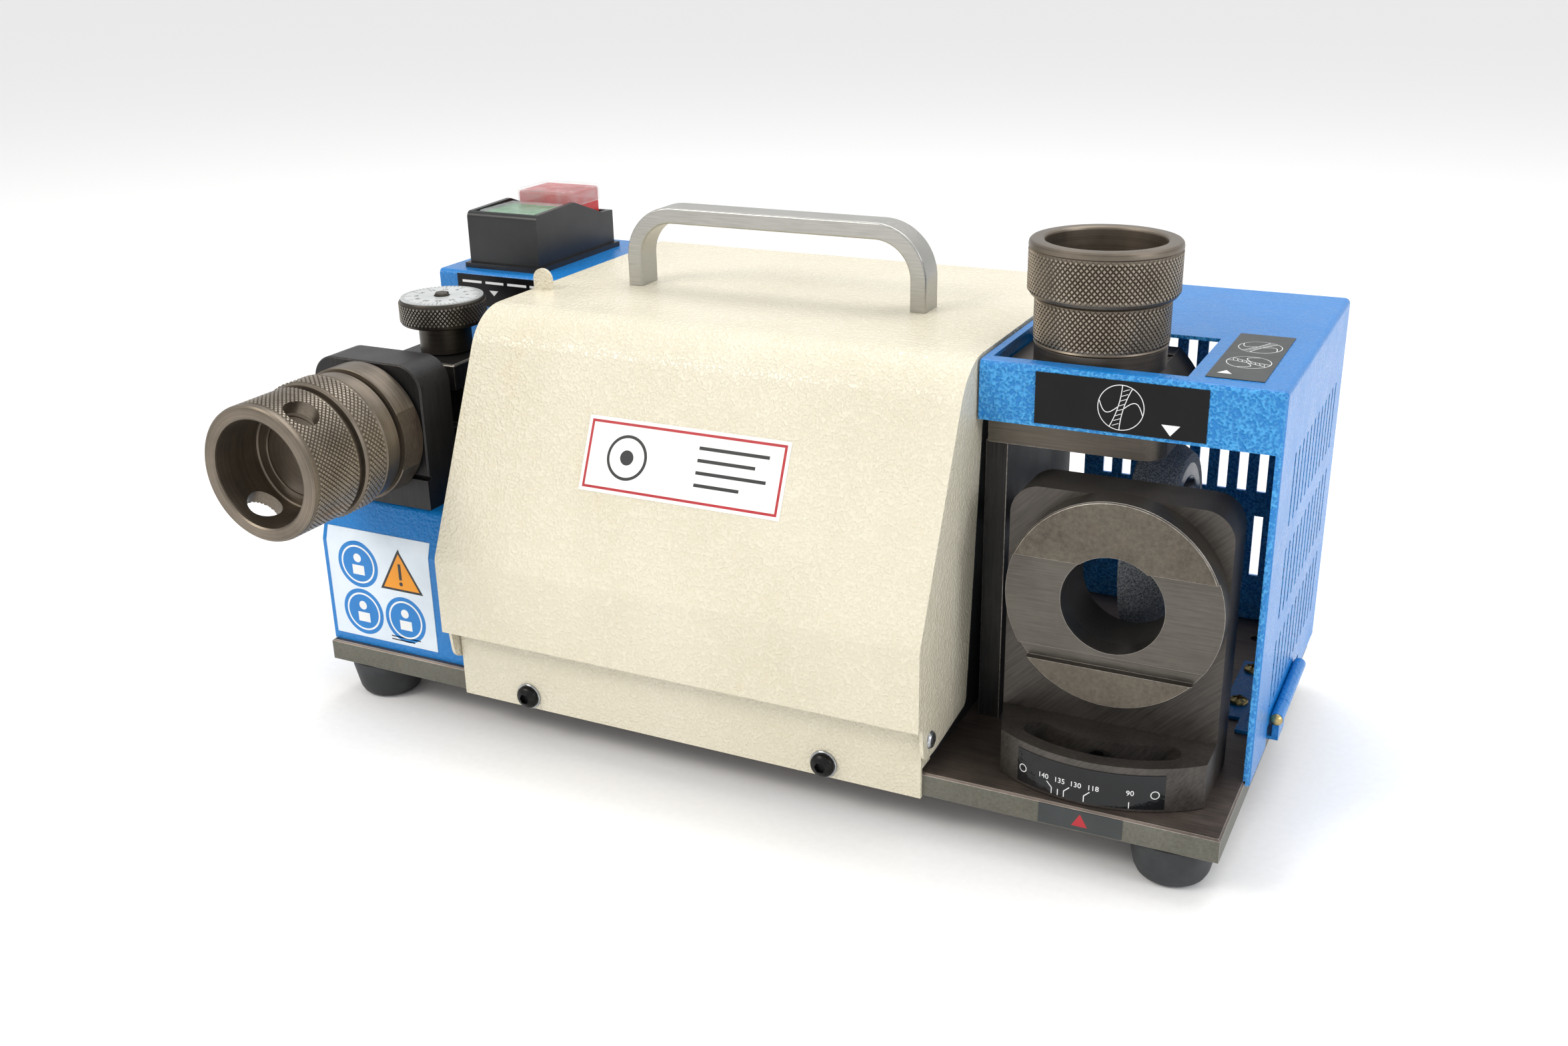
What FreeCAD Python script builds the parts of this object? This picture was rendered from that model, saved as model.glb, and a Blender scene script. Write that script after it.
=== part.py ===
"""Bench drill bit sharpener: a base plate that carries a motor, a grinding wheel,
a swivelling point-angle port, a web-thinning port and a drill setting fixture."""
import FreeCAD, Part
import math
import os
import Sketcher

doc = FreeCAD.newDocument("DrillBitSharpener")

# Driving dimensions, in millimetres and degrees. Left to right is X, front to back is Y, up is Z.
# Places are measured from the middle of the plate's front bottom edge.
SIZES = {
    # base plate and feet
    "plate_length": 420, "plate_depth": 200, "plate_thick": 10, "plate_edge": 0.8,
    "foot_height": 18, "foot_top_radius": 17, "foot_low_radius": 13.5, "foot_inset": 20,
    "foot_front": 16, "foot_rear": 178, "foot_screw_radius": 3, "foot_head_radius": 6,
    "foot_head_height": 4, "foot_recess": 8, "foot_seat": 1, "foot_flare": 1.2, "foot_hem": 1.6,
    # sheet metal
    "sheet_wall": 1.5, "sheet_gap": 0.2, "side_gap": 1,
    # front bracket
    "bracket_low": -1, "bracket_top": 31, "bracket_flange": 8.5, "bracket_flange_low": 12,
    "bracket_screw_left": -95.5, "bracket_screw_right": 50, "bolt_radius": 3, "bolt_head_radius": 5.3,
    "bolt_head_height": 3.3, "bolt_grip": 9, "washer_radius": 6, "washer_thick": 1.2, "bolt_socket": 2.3,
    # swing cover
    "cover_left": -133.4, "cover_right": 95, "lip_front": -11.1, "lip_low": 33.3, "crease_height": 68.5,
    "cover_corner": 35.8, "cover_top": 170, "cover_rear": 195, "cover_bend": 25, "cheek_low": 19,
    "cheek_rear": 43, "cheek_lean": 11, "cheek_top": 139, "cheek_skirt": 158,
    "hinge_back": 2, "hinge_height": 24.7, "rivet_radius": 2, "rivet_head": 3.8, "rivet_dome": 1.8,
    "rivet_flat": 0.4, "rivet_gap": 0.1,
    "pin_play": 0.06, "tab_width": 10, "tab_height": 9.5, "tab_place": 79, "ear_round": 6,
    # carrying handle
    "handle_pitch": 140, "handle_left": -91.8, "handle_bar": 7.35, "handle_depth": 14.5,
    "handle_front": 101, "handle_top": 207.2, "handle_bend": 24, "handle_screw": 2.5,
    "handle_screw_head": 4.5, "handle_screw_grip": 9, "handle_edge": 1,
    # partitions
    "partition_wall": 2, "partition_gap": 2, "partition_front": 12, "partition_rear": 195,
    "partition_top": 166.5, "partition_knee": 96, "partition_brow": 48, "partition_foot": 14,
    "shaft_window": 16, "vent_count": 19, "vent_first": -106, "vent_pitch": 10, "vent_width": 3.2,
    "vent_long": 34, "vent_low": 42, "vent_rise": 48, "vent_rows": 2,
    # motor and wheel
    "axle_back": 108, "axle_height": 84.4, "motor_radius": 38, "motor_left": -80, "motor_right": 62,
    "cap_length": 12, "cap_radius": 34, "axle_radius": 6, "bearing_radius": 13, "bearing_width": 7,
    "cradle_left": -56, "cradle_right": 40, "cradle_depth": 76, "cradle_height": 44,
    "cradle_bolt_inset": 8, "cradle_bolt": 2.5, "axle_play": 0.05,
    "wheel_left": 150, "wheel_right": 166, "wheel_radius": 44.2, "wheel_lean": 31, "abrasive_thick": 4,
    "boss_radius": 14, "boss_left": 139, "boss_right": 169, "axle_end": 181, "nut_width": 6,
    "nut_radius": 10, "wheel_dish": 4, "dish_radius": 25,
    # right hood
    "hood_front": 45.6, "hood_top": 169, "hood_low": 8, "flange_low": 145, "strip_low": 150,
    "hood_bend": 2.5, "opening_left": 1.5, "opening_right": 174.3, "opening_front": 52.7,
    "opening_rear": 110.6, "slot_count": 12, "slot_width": 2.6, "slot_pitch": 9.25, "slot_first": 78,
    "slot_long": 30, "slot_row_top": 136, "slot_row_drop": 39.5,
    "rear_slot_width": 4.2, "rear_slot_pitch": 9.12, "rear_slot_first": 106.8, "rear_slot_long": 30,
    "rear_slot_top": 104, "rear_slot_count": 10, "rear_row_rise": 42,
    # hood hinge
    "barrel_radius": 2.7, "barrel_height": 19.6, "barrel_front": 84, "barrel_rear": 140,
    "barrel_split": 98, "hinge_pin_radius": 1.5, "leaf_wall": 1.5, "leaf_left": 189.5,
    "leaf_front": 95, "leaf_rear": 150, "notch_rise": 17.5, "pan_radius": 4, "pan_height": 2.4,
    "pan_grip": 6, "pan_shank": 2, "leaf_screw_x": 195, "leaf_screw_front": 108.5,
    "leaf_screw_rear": 141, "side_screw_height": 17, "side_screw_radius": 3,
    # left housing
    "housing_right": -134.2, "housing_front": 2.8, "housing_crease": 61, "deck_height": 81.5,
    "deck_front": 9.5, "box_front": 107.4, "box_top": 167.3, "gland_radius": 9, "gland_length": 14,
    "gland_bore": 4, "gland_height": 40, "gland_in": 6,
    # switch
    "switch_left": -199.3, "switch_right": -154.4, "switch_front": 114.9, "switch_rear": 188,
    "switch_flange": 2.5, "collar_inset": 2, "collar_top": 195, "collar_low": 186.5,
    "collar_knee": 151, "collar_wall": 2.5, "button_gap": 1.2, "start_button_top": 194,
    "stop_button_top": 199.5, "switch_lap": 6, "switch_tuck": 6.3, "switch_under": 26,
    "divider_half": 0.6, "button_round": 2, "button_ease": 1.2, "cap_round": 2.5, "stem_under": 6,
    "stem_play": 0.3, "button_rest": 0.6, "gland_step": 2, "gland_shoulder": 5, "gland_taper": 6.5,
    "gland_tip": 3,
    "button_travel": 3, "cap_wall": 0.8, "button_split": 152, "switch_floor": 176, "cap_rise": 1.2,
    "button_stem": 4, "button_skirt": 7,
    # drill setting fixture
    "setting_axis": -180, "setting_height": 117.5, "arch_width": 60, "arch_front": 10,
    "arch_thick": 22, "arch_top": 148, "arch_round": 12, "slab_height": 14, "slab_rear": 92,
    "arch_recess": 1.2, "stop_width": 40, "stop_front": 48.5, "stop_top": 138.2,
    "stop_groove_low": 108, "stop_groove_rise": 18, "stop_groove_deep": 6, "slide_play": 0.3,
    "slide_length": 16, "slide_reach": 12, "slide_travel": 8, "pillar_inset": 4,
    # web diameter dial
    "dial_back": 70, "dial_radius": 20.5, "dial_top": 164.1, "dial_low": 152.2,
    "dial_collar": 12.3, "dial_plate_radius": 19.3, "dial_plate_thick": 0.5, "dial_hex": 3.7,
    "dial_hex_rise": 2, "dial_stem": 5, "dial_stem_end": 104, "dial_gap": 0.3, "dial_edge": 0.8,
    # drill chucks
    "cup_radius": 30, "cup_bore": 23.5, "cup_edge": 1.6, "spigot_radius": 18, "chuck_bore": 12,
    "nose_radius": 21.95, "nose_play": 0.05, "chuck_joint": 0.3, "collet_bore": 6, "collet_out": 3,
    "left_cup": 30, "left_groove": 1.6, "left_groove_radius": 27.5, "left_ring": 46,
    "left_ring_radius": 31, "left_collar": 57.5, "left_collar_radius": 29.4, "left_flange": 70,
    "left_flange_radius": 30.5, "left_flat": 27.5, "left_nose": 90, "collar_edge": 2.5,
    "tommy_radius": 7.6, "tommy_place": 13.5, "tommy_turn": 32,
    "right_cup_radius": 29.6, "right_cup_bore": 23.2, "right_cup": 21.4, "right_ring": 41,
    "right_ring_radius": 26.6, "right_collar": 49.7, "right_collar_radius": 26, "right_nose": 76,
    "cup_floor": 5, "seat_gap": 0.3, "cup_chamfer": 0.6, "nose_chamfer": 1, "collet_long": 22,
    "collet_taper": 1.5, "flat_clear": 5, "flat_reach": 40, "arch_step": 1.5, "arch_chamfer": 0.6,
    "stop_chamfer": 0.8, "ledge_open": 5, "pivot_seat": 0.4, "pivot_head": 3, "pivot_crown": 2,
    "lock_chamfer": 0.4, "lock_socket": 3,
    # web-thinning port above the wheel
    "port_axis_x": 133.3, "port_axis_y": 81.7, "port_left": 98, "port_right": 167, "port_front": 52,
    "port_rear": 118, "port_low": 134, "port_top": 162, "port_chamfer": 10, "port_round": 9,
    "port_pin": 2.5, "port_pin_deep": 12, "port_pin_right": 21, "port_pin_back": 22,
    "column_left": 96.3, "column_right": 105.5, "column_front": 55, "column_rear": 116,
    # point-angle port
    "pivot_x": 156.5, "pivot_y": 68, "pivot_radius": 5, "swivel_lift": 0.3,
    "ledge_radius": 65, "ledge_top": 29, "ledge_left": 125, "bracket_left": 113.5,
    "bracket_right": 199.6, "face_front": 36, "face_rear": 57.5, "face_top": 124.3,
    "face_round": 12, "tongue_half": 11, "tongue_top": 17, "slot_radius": 53, "slot_half": 5.6,
    "slot_low_half": 3.3, "slot_floor": 20, "slot_left": 26, "slot_right": 30.5, "lock_head": 5,
    "lock_shank": 3, "lock_top": 26.5, "lock_place": 2,
    "seat_axis": 158, "seat_height": 84.4, "seat_radius": 42.2, "seat_bore": 20.2,
    "seat_thick": 12, "seat_edge": 0.6, "channel_top": 100, "channel_low": 62.5,
    "channel_deep": 2, "undercut_low": 57.5, "undercut_deep": 3.5,
    # labels
    "label_thick": 0.3, "name_left": -66.4, "name_width": 94.3, "name_low": 105.5, "name_high": 134.5,
    "flange_label_left": 118.6, "flange_label_width": 65.6, "flange_label_low": 146.4,
    "flange_label_high": 20.4, "top_label_left": 180, "top_label_width": 21.5, "top_label_front": 55,
    "top_label_deep": 66.5, "web_label_left": -199, "web_label_width": 60, "web_label_low": 150.5,
    "web_label_high": 15.5, "safety_left": -207.5, "safety_width": 59, "safety_low": 14,
    "safety_over": 6.7, "pointer_left": 140.8, "pointer_width": 32.8, "pointer_edge": 0.5,
    "scale_low": 11.5, "scale_high": 14.5, "scale_left": 24.8, "scale_right": 27.5,
}

sheet = doc.addObject("Spreadsheet::Sheet", "Sizes")
for row, (alias, amount) in enumerate(SIZES.items(), start=1):
    sheet.set("A%d" % row, alias)
    sheet.set("B%d" % row, str(amount))
    sheet.setAlias("B%d" % row, alias)
doc.recompute()


class Size:
    """A number together with the spreadsheet expression that gives it."""

    def __init__(self, value, text=None):
        self.value = float(value)
        self.text = text if text else "(%s)" % repr(float(value))

    def _join(self, sign, other, value):
        return Size(value, "(%s %s %s)" % (self.text, sign, other.text))

    def __add__(self, other):
        other = sized(other)
        return self._join("+", other, self.value + other.value)

    def __sub__(self, other):
        other = sized(other)
        return self._join("-", other, self.value - other.value)

    def __mul__(self, other):
        other = sized(other)
        return self._join("*", other, self.value * other.value)

    def __truediv__(self, other):
        other = sized(other)
        return self._join("/", other, self.value / other.value)

    def __radd__(self, other):
        return sized(other) + self

    def __rsub__(self, other):
        return sized(other) - self

    def __rmul__(self, other):
        return sized(other) * self

    def __neg__(self):
        return sized(0) - self


def sized(amount):
    """Return the amount as a Size."""
    return amount if isinstance(amount, Size) else Size(amount)


def tan_of(angle, share=1.0):
    """Tangent of a share of an angle in degrees."""
    value = math.tan(math.radians(angle.value * share))
    return Size(value, "tan(%s * %r deg)" % (angle.text, share))


def half_tan(run, rise):
    """Tangent of half the angle whose tangent is run over rise."""
    value = math.tan(math.atan2(run.value, rise.value) / 2)
    return Size(value, "tan(atan(%s / %s) / 2)" % (run.text, rise.text))


class Sheet:
    """The spreadsheet's sizes, read as attributes."""

    def __getattr__(self, name):
        return Size(SIZES[name], "Sizes.%s" % name)


s = Sheet()

# Overall limits of the machine, which centre the model's origin under it.
left_limit = -s.plate_length / 2 - s.pan_height
hood_right = s.plate_length / 2 + s.sheet_gap + s.sheet_wall
right_limit = hood_right + s.barrel_radius * 2
left_mouth = s.arch_front - s.seat_gap - s.left_flange
front_limit = left_mouth
rear_face = s.plate_depth + s.sheet_gap + s.sheet_wall
rear_limit = rear_face + s.gland_length
DATUM = (-(left_limit + right_limit) / 2, -(front_limit + rear_limit) / 2, s.foot_height)

TURNS = {
    "z": FreeCAD.Rotation(),
    "-z": FreeCAD.Rotation(FreeCAD.Vector(1, 0, 0), 180),
    "x": FreeCAD.Rotation(FreeCAD.Vector(0, 1, 0), 90),
    "-x": FreeCAD.Rotation(FreeCAD.Vector(0, 1, 0), -90),
    "y": FreeCAD.Rotation(FreeCAD.Vector(1, 0, 0), -90),
    "-y": FreeCAD.Rotation(FreeCAD.Vector(1, 0, 0), 90),
}
parts = {}


def bind(thing, name, amount):
    """Tie a property to the spreadsheet."""
    thing.setExpression(name, sized(amount).text)


def locate(thing, at, turn="z", datum=True):
    """Place an object, its place tied to the spreadsheet."""
    rotation = turn if isinstance(turn, FreeCAD.Rotation) else TURNS[turn]
    thing.Placement = FreeCAD.Placement(FreeCAD.Vector(), rotation)
    for axis, amount, zero in zip("xyz", at, DATUM):
        bind(thing, "Placement.Base." + axis, amount + zero if datum else amount)
    return thing


def block(low, high, name="Block"):
    """A box between two corners."""
    thing = doc.addObject("Part::Box", name)
    for prop, start, end in zip(("Length", "Width", "Height"), low, high):
        bind(thing, prop, sized(end) - start)
    return locate(thing, [sized(value) for value in low])


def rod(radius, length, at, axis="z", name="Rod"):
    """A cylinder that starts at a point and runs along an axis."""
    thing = doc.addObject("Part::Cylinder", name)
    bind(thing, "Radius", radius)
    bind(thing, "Height", length)
    return locate(thing, [sized(value) for value in at], axis)


def join(*pieces):
    """Fuse pieces into one."""
    thing = doc.addObject("Part::MultiFuse", "Join")
    thing.Shapes = list(pieces)
    thing.Refine = True
    return thing


def group(*pieces):
    """Keep separate solids together."""
    thing = doc.addObject("Part::Compound", "Group")
    thing.Links = list(pieces)
    return thing


def cut(base, *tools):
    """Cut one or more tools from a piece."""
    thing = doc.addObject("Part::Cut", "Cut")
    thing.Base = base
    thing.Tool = tools[0] if len(tools) == 1 else group(*tools)
    return thing


def common(first, second):
    """Keep what two pieces share."""
    thing = doc.addObject("Part::Common", "Common")
    thing.Base = first
    thing.Tool = second
    return thing


def draw(body, plane, outline):
    """Sketch a closed outline on one of a body's origin planes."""
    sketch = body.newObject("Sketcher::SketchObject", "Sketch")
    role = {"XY": "XY_Plane", "XZ": "XZ_Plane", "YZ": "YZ_Plane"}[plane]
    face = [item for item in body.Origin.OriginFeatures if item.Role == role][0]
    sketch.AttachmentSupport = [(face, "")]
    sketch.MapMode = "FlatFace"
    points = [(sized(u), sized(w)) for u, w in outline]
    count = len(points)
    spots = [FreeCAD.Vector(u.value, w.value, 0) for u, w in points]
    for index in range(count):
        sketch.addGeometry(Part.LineSegment(spots[index], spots[(index + 1) % count]), False)
    for index in range(count):
        sketch.addConstraint(Sketcher.Constraint("Coincident", index, 2, (index + 1) % count, 1))
    for index, (u, w) in enumerate(points):
        for kind, amount, axis in (("DistanceX", u, -2), ("DistanceY", w, -1)):
            if amount.value == 0:
                sketch.addConstraint(Sketcher.Constraint("PointOnObject", index, 1, axis))
                continue
            number = sketch.addConstraint(
                Sketcher.Constraint(kind, -1, 1, index, 1, amount.value))
            sketch.setExpression("Constraints[%d]" % number, amount.text)
    return sketch


def turned(outline, at, axis="z"):
    """A turned piece: (radius, distance along the axis) points spun round the axis."""
    body = doc.addObject("PartDesign::Body", "Turned")
    sketch = draw(body, "XZ", outline)
    spin = body.newObject("PartDesign::Revolution", "Spin")
    spin.Profile = sketch
    spin.ReferenceAxis = (sketch, ["V_Axis"])
    spin.Angle = 360
    return locate(body, [sized(value) for value in at], axis)


def long_edges(shape, direction, spots):
    """Names of the straight edges along a direction that pass through the given spots."""
    names = []
    for number, edge in enumerate(shape.Edges, start=1):
        if len(edge.Vertexes) < 2 or not isinstance(edge.Curve, Part.Line):
            continue
        run = edge.Vertexes[1].Point - edge.Vertexes[0].Point
        if run.cross(direction).Length > 1e-6 * run.Length:
            continue
        for spot in spots:
            gap = edge.Vertexes[0].Point - spot
            if gap.cross(direction).Length < 1e-4:
                names.append("Edge%d" % number)
    return names


def extruded(plane, outline, low, high, rounds=()):
    """An outline pushed along its plane's normal from low to high, with rounded corners.

    rounds is a list of (radius, corner numbers).
    """
    body = doc.addObject("PartDesign::Body", "Extruded")
    sketch = draw(body, plane, outline)
    pad = body.newObject("PartDesign::Pad", "Pad")
    pad.Profile = sketch
    bind(pad, "Length", sized(high) - low)
    pad.Reversed = plane == "XZ"
    doc.recompute()
    normal = {"XY": (0, 0, 1), "XZ": (0, 1, 0), "YZ": (1, 0, 0)}[plane]
    direction = FreeCAD.Vector(*normal)
    for radius, corners in rounds:
        spots = []
        for corner in corners:
            u, w = (sized(value).value for value in outline[corner])
            spots.append({"XY": FreeCAD.Vector(u, w, 0), "XZ": FreeCAD.Vector(u, 0, w),
                          "YZ": FreeCAD.Vector(0, u, w)}[plane])
        base = body.Tip
        fillet = body.newObject("PartDesign::Fillet", "Round")
        fillet.Base = (base, long_edges(base.Shape, direction, spots))
        bind(fillet, "Radius", radius)
        doc.recompute()
    start = sized(low)
    at = {"XY": (sized(0), sized(0), start), "XZ": (sized(0), start, sized(0)),
          "YZ": (start, sized(0), sized(0))}[plane]
    return locate(body, at)


def eased(base, radius, chosen, kind="Part::Fillet"):
    """Round or bevel the edges that a test picks."""
    doc.recompute()
    thing = doc.addObject(kind, "Eased")
    thing.Base = base
    amount = sized(radius).value
    numbers = [n for n, edge in enumerate(base.Shape.Edges, start=1) if chosen(edge)]
    thing.Edges = [(number, amount, amount) for number in numbers]
    return thing


def edge_at(axis, amount, datum_index):
    """A test for edges that lie flat at one height, depth or side."""
    level = (sized(amount) + DATUM[datum_index]).value

    def chosen(edge):
        box = edge.BoundBox
        low, high = ((box.XMin, box.XMax), (box.YMin, box.YMax), (box.ZMin, box.ZMax))[axis]
        return abs(low - level) < 1e-4 and abs(high - level) < 1e-4

    return chosen


def keep(label, thing):
    """Name a finished sub-part."""
    thing.Label = label
    parts[label] = thing
    return thing


# ---------------------------------------------------------------- base plate and feet
half_length = s.plate_length / 2
foot_x = half_length - s.foot_inset
foot_spots = [(side * foot_x, depth) for side in (-1, 1) for depth in (s.foot_front, s.foot_rear)]
lock_x = s.pivot_x + s.lock_place
lock_y = s.pivot_y - s.slot_radius
plate_holes = [rod(s.foot_screw_radius, s.plate_thick, (x, y, 0)) for x, y in foot_spots]
plate_holes.append(rod(s.pivot_radius, s.plate_thick, (s.pivot_x, s.pivot_y, 0)))
plate_holes.append(rod(s.lock_shank, s.plate_thick, (lock_x, lock_y, 0)))
plate_holes += [rod(s.bolt_radius, s.bolt_grip, (x, 0, s.plate_thick / 2), "y")
               for x in (s.bracket_screw_left, s.bracket_screw_right)]
leaf_spots = [(s.leaf_screw_x, y) for y in (s.leaf_screw_front, s.leaf_screw_rear)]
leaf_screw_end = s.plate_thick + s.leaf_wall - s.pan_grip
plate_holes += [rod(s.pan_shank, s.pan_grip, (x, y, leaf_screw_end)) for x, y in leaf_spots]
slab = block((-half_length, 0, 0), (half_length, s.plate_depth, s.plate_thick))
slab = eased(slab, s.plate_edge, edge_at(2, s.plate_thick, 2), "Part::Chamfer")
keep("base_plate", cut(slab, *plate_holes))

foot_ledge = -s.foot_recess - s.foot_seat
foot_outline = [
    (s.foot_screw_radius, foot_ledge), (s.foot_screw_radius, 0), (s.foot_top_radius, 0),
    (s.foot_top_radius, -s.foot_hem * 2),
        (s.foot_low_radius + s.foot_flare, -s.foot_height + s.foot_hem * 2.5),
    (s.foot_low_radius, -s.foot_height + s.foot_hem), (s.foot_low_radius - s.foot_hem, -s.foot_height),
    (s.foot_head_radius, -s.foot_height), (s.foot_head_radius, foot_ledge)]
keep("rubber_feet", group(*[turned(foot_outline, (x, y, 0)) for x, y in foot_spots]))
screw_outline = [
    (0, s.plate_thick - 1), (s.foot_screw_radius, s.plate_thick - 1),
    (s.foot_screw_radius, -s.foot_recess - 1), (s.foot_head_radius - 0.3, -s.foot_recess - 1),
    (s.foot_head_radius - 0.3, -s.foot_recess - s.foot_head_height),
    (0, -s.foot_recess - s.foot_head_height)]
keep("foot_screws", group(*[turned(screw_outline, (x, y, 0)) for x, y in foot_spots]))

# ---------------------------------------------------------------- front bracket
bracket_x = (s.cover_left + s.sheet_wall + s.side_gap, s.cover_right - s.sheet_wall - s.side_gap)
strip = block((bracket_x[0], -s.sheet_wall, s.bracket_low), (bracket_x[1], 0, s.bracket_top))
flanges = [
    block((x, -s.sheet_wall, s.bracket_flange_low), (x + s.sheet_wall, s.bracket_flange, s.bracket_top))
    for x in (bracket_x[0], bracket_x[1] - s.sheet_wall)]
hinge_hole = rod(s.rivet_radius, bracket_x[1] - bracket_x[0] + 2,
                 (bracket_x[0] - 1, s.hinge_back, s.hinge_height), "x")
bolt_spots = [(x, -s.sheet_wall, s.plate_thick / 2)
              for x in (s.bracket_screw_left, s.bracket_screw_right)]
bolt_holes = [rod(s.bolt_radius, s.sheet_wall, spot, "y") for spot in bolt_spots]
keep("front_bracket", cut(join(strip, *flanges), hinge_hole, *bolt_holes))
washer_outline = [(s.bolt_radius, 0), (s.washer_radius, 0), (s.washer_radius, s.washer_thick),
                  (s.bolt_radius, s.washer_thick)]
keep("bracket_washers", group(*[turned(washer_outline, spot, "-y") for spot in bolt_spots]))
head_top = s.washer_thick + s.bolt_head_height
button_outline = [
    (0, -s.bolt_grip), (s.bolt_radius, -s.bolt_grip), (s.bolt_radius, s.washer_thick),
    (s.bolt_head_radius, s.washer_thick), (s.bolt_head_radius - 0.4, s.washer_thick + 1.3),
    (s.bolt_head_radius - 1.6, head_top - 0.6), (s.bolt_socket + 0.6, head_top),
    (s.bolt_socket, head_top), (s.bolt_socket, head_top - 2), (0, head_top - 2)]
keep("bracket_screws", group(*[turned(button_outline, spot, "-y") for spot in bolt_spots]))
rivet_seat = s.sheet_wall * 2 + s.side_gap + s.rivet_gap
rivets = []
for inner, turn, rise in ((bracket_x[0] + s.sheet_wall, "-x", s.rivet_flat),
                          (bracket_x[1] - s.sheet_wall, "x", s.rivet_dome)):
    rivet_outline = [
        (0, 0), (s.rivet_radius, 0), (s.rivet_radius, rivet_seat), (s.rivet_head, rivet_seat),
        (s.rivet_head * 0.8, rivet_seat + rise * 0.6), (s.rivet_head * 0.4, rivet_seat + rise * 0.9),
        (0, rivet_seat + rise)]
    rivets.append(turned(rivet_outline, (inner, s.hinge_back, s.hinge_height), turn))
keep("cover_rivets", group(*rivets))

# ---------------------------------------------------------------- swing cover and handle
slope_run = s.cover_corner - s.lip_front
slope_rise = s.cover_top - s.crease_height
crease_tan = half_tan(slope_run, slope_rise)
corner_tan = half_tan(slope_rise, slope_run)
ear_low = s.hinge_height - 7.5
cover_outline = [
    (s.lip_front, s.lip_low), (s.lip_front, s.crease_height), (s.cover_corner, s.cover_top),
    (s.cover_rear, s.cover_top), (s.cover_rear, s.cheek_skirt),
    (s.cheek_rear + s.cheek_lean + 5, s.cheek_skirt), (s.cheek_rear + s.cheek_lean, s.cheek_top),
    (s.cheek_rear, s.cheek_low + 2), (s.hinge_back + 7, ear_low),
    (s.hinge_back - 7, ear_low), (s.hinge_back - 9, s.lip_low)]
cover_solid = extruded("YZ", cover_outline, s.cover_left, s.cover_right,
                       [(s.cover_bend, [2]), (s.ear_round, [8, 9]), (4, [5, 7])])
hollow_outline = [
    (s.lip_front + s.sheet_wall, 0), (s.lip_front + s.sheet_wall,
                                      s.crease_height - s.sheet_wall * crease_tan),
    (s.cover_corner + s.sheet_wall * corner_tan, s.cover_top - s.sheet_wall),
    (s.cover_rear + 5, s.cover_top - s.sheet_wall), (s.cover_rear + 5, 0)]
cover_hollow = extruded("YZ", hollow_outline, s.cover_left + s.sheet_wall,
                        s.cover_right - s.sheet_wall, [(s.cover_bend - s.sheet_wall, [2])])
cover_holes = [rod(s.rivet_radius + s.pin_play, s.plate_length,
                   (-half_length, s.hinge_back, s.hinge_height), "x")]
handle_legs = (s.handle_left, s.handle_left + s.handle_pitch)
handle_mid = s.handle_front + s.handle_depth / 2
cover_holes += [rod(s.handle_screw, s.sheet_wall, (x, handle_mid, s.cover_top - s.sheet_wall))
                for x in handle_legs]
tab_outline = [
    (s.cover_left, s.cover_top - s.sheet_wall / 2), (s.cover_left, s.cover_top + s.tab_height),
    (s.cover_left + s.tab_width, s.cover_top + s.tab_height),
    (s.cover_left + s.tab_width, s.cover_top - s.sheet_wall / 2)]
finger_tab = extruded("XZ", tab_outline, s.tab_place, s.tab_place + s.sheet_wall,
                      [(s.tab_width / 2 - 0.1, [1, 2])])
keep("swing_cover", join(cut(cover_solid, cover_hollow, *cover_holes), finger_tab))

half_bar = s.handle_bar / 2
outer_left, outer_right = handle_legs[0] - half_bar, handle_legs[1] + half_bar
handle_outline = [
    (outer_left, s.cover_top), (outer_left, s.handle_top), (outer_right, s.handle_top),
    (outer_right, s.cover_top), (outer_right - s.handle_bar, s.cover_top),
    (outer_right - s.handle_bar, s.handle_top - s.handle_bar),
    (outer_left + s.handle_bar, s.handle_top - s.handle_bar), (outer_left + s.handle_bar, s.cover_top)]
handle_bar = extruded("XZ", handle_outline, s.handle_front, s.handle_front + s.handle_depth,
                      [(s.handle_bend, [1, 2]), (s.handle_bend - s.handle_bar, [5, 6])])
front_or_rear = [edge_at(1, s.handle_front, 1), edge_at(1, s.handle_front + s.handle_depth, 1)]
foot_level = (s.cover_top + DATUM[2]).value
handle_bar = eased(handle_bar, s.handle_edge, lambda edge: edge.BoundBox.ZMax > foot_level + 1
                   and any(test(edge) for test in front_or_rear))
handle_holes = [rod(s.handle_screw, s.handle_screw_grip, (x, handle_mid, s.cover_top))
                for x in handle_legs]
keep("handle", cut(handle_bar, *handle_holes))
handle_screw_outline = [
    (0, s.handle_screw_grip), (s.handle_screw, s.handle_screw_grip), (s.handle_screw, -s.sheet_wall),
    (s.handle_screw_head, -s.sheet_wall), (s.handle_screw_head - 0.6, -s.sheet_wall - 2.2),
    (0, -s.sheet_wall - 2.8)]
keep("handle_screws", group(*[turned(handle_screw_outline, (x, handle_mid, s.cover_top))
                              for x in handle_legs]))

# ---------------------------------------------------------------- partitions
partition_outline = [
    (s.partition_front, s.plate_thick), (s.partition_rear, s.plate_thick),
    (s.partition_rear, s.partition_top), (s.partition_brow, s.partition_top),
    (s.partition_front, s.partition_knee)]
right_wall_x = s.cover_right - s.sheet_wall - s.partition_gap
left_wall_x = s.cover_left + s.sheet_wall + s.partition_gap
walls = {}
for label, wall_x, foot_way in (("left_partition", left_wall_x, 1), ("right_partition", right_wall_x, -1)):
    start = wall_x if foot_way == 1 else wall_x - s.partition_wall
    wall = extruded("YZ", partition_outline, start, start + s.partition_wall)
    foot_start = start if foot_way == 1 else start - s.partition_foot + s.partition_wall
    foot = block((foot_start, s.partition_front, s.plate_thick),
                 (foot_start + s.partition_foot, s.partition_rear - s.partition_wall,
                  s.plate_thick + s.partition_wall))
    walls[label] = join(wall, foot)
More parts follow.
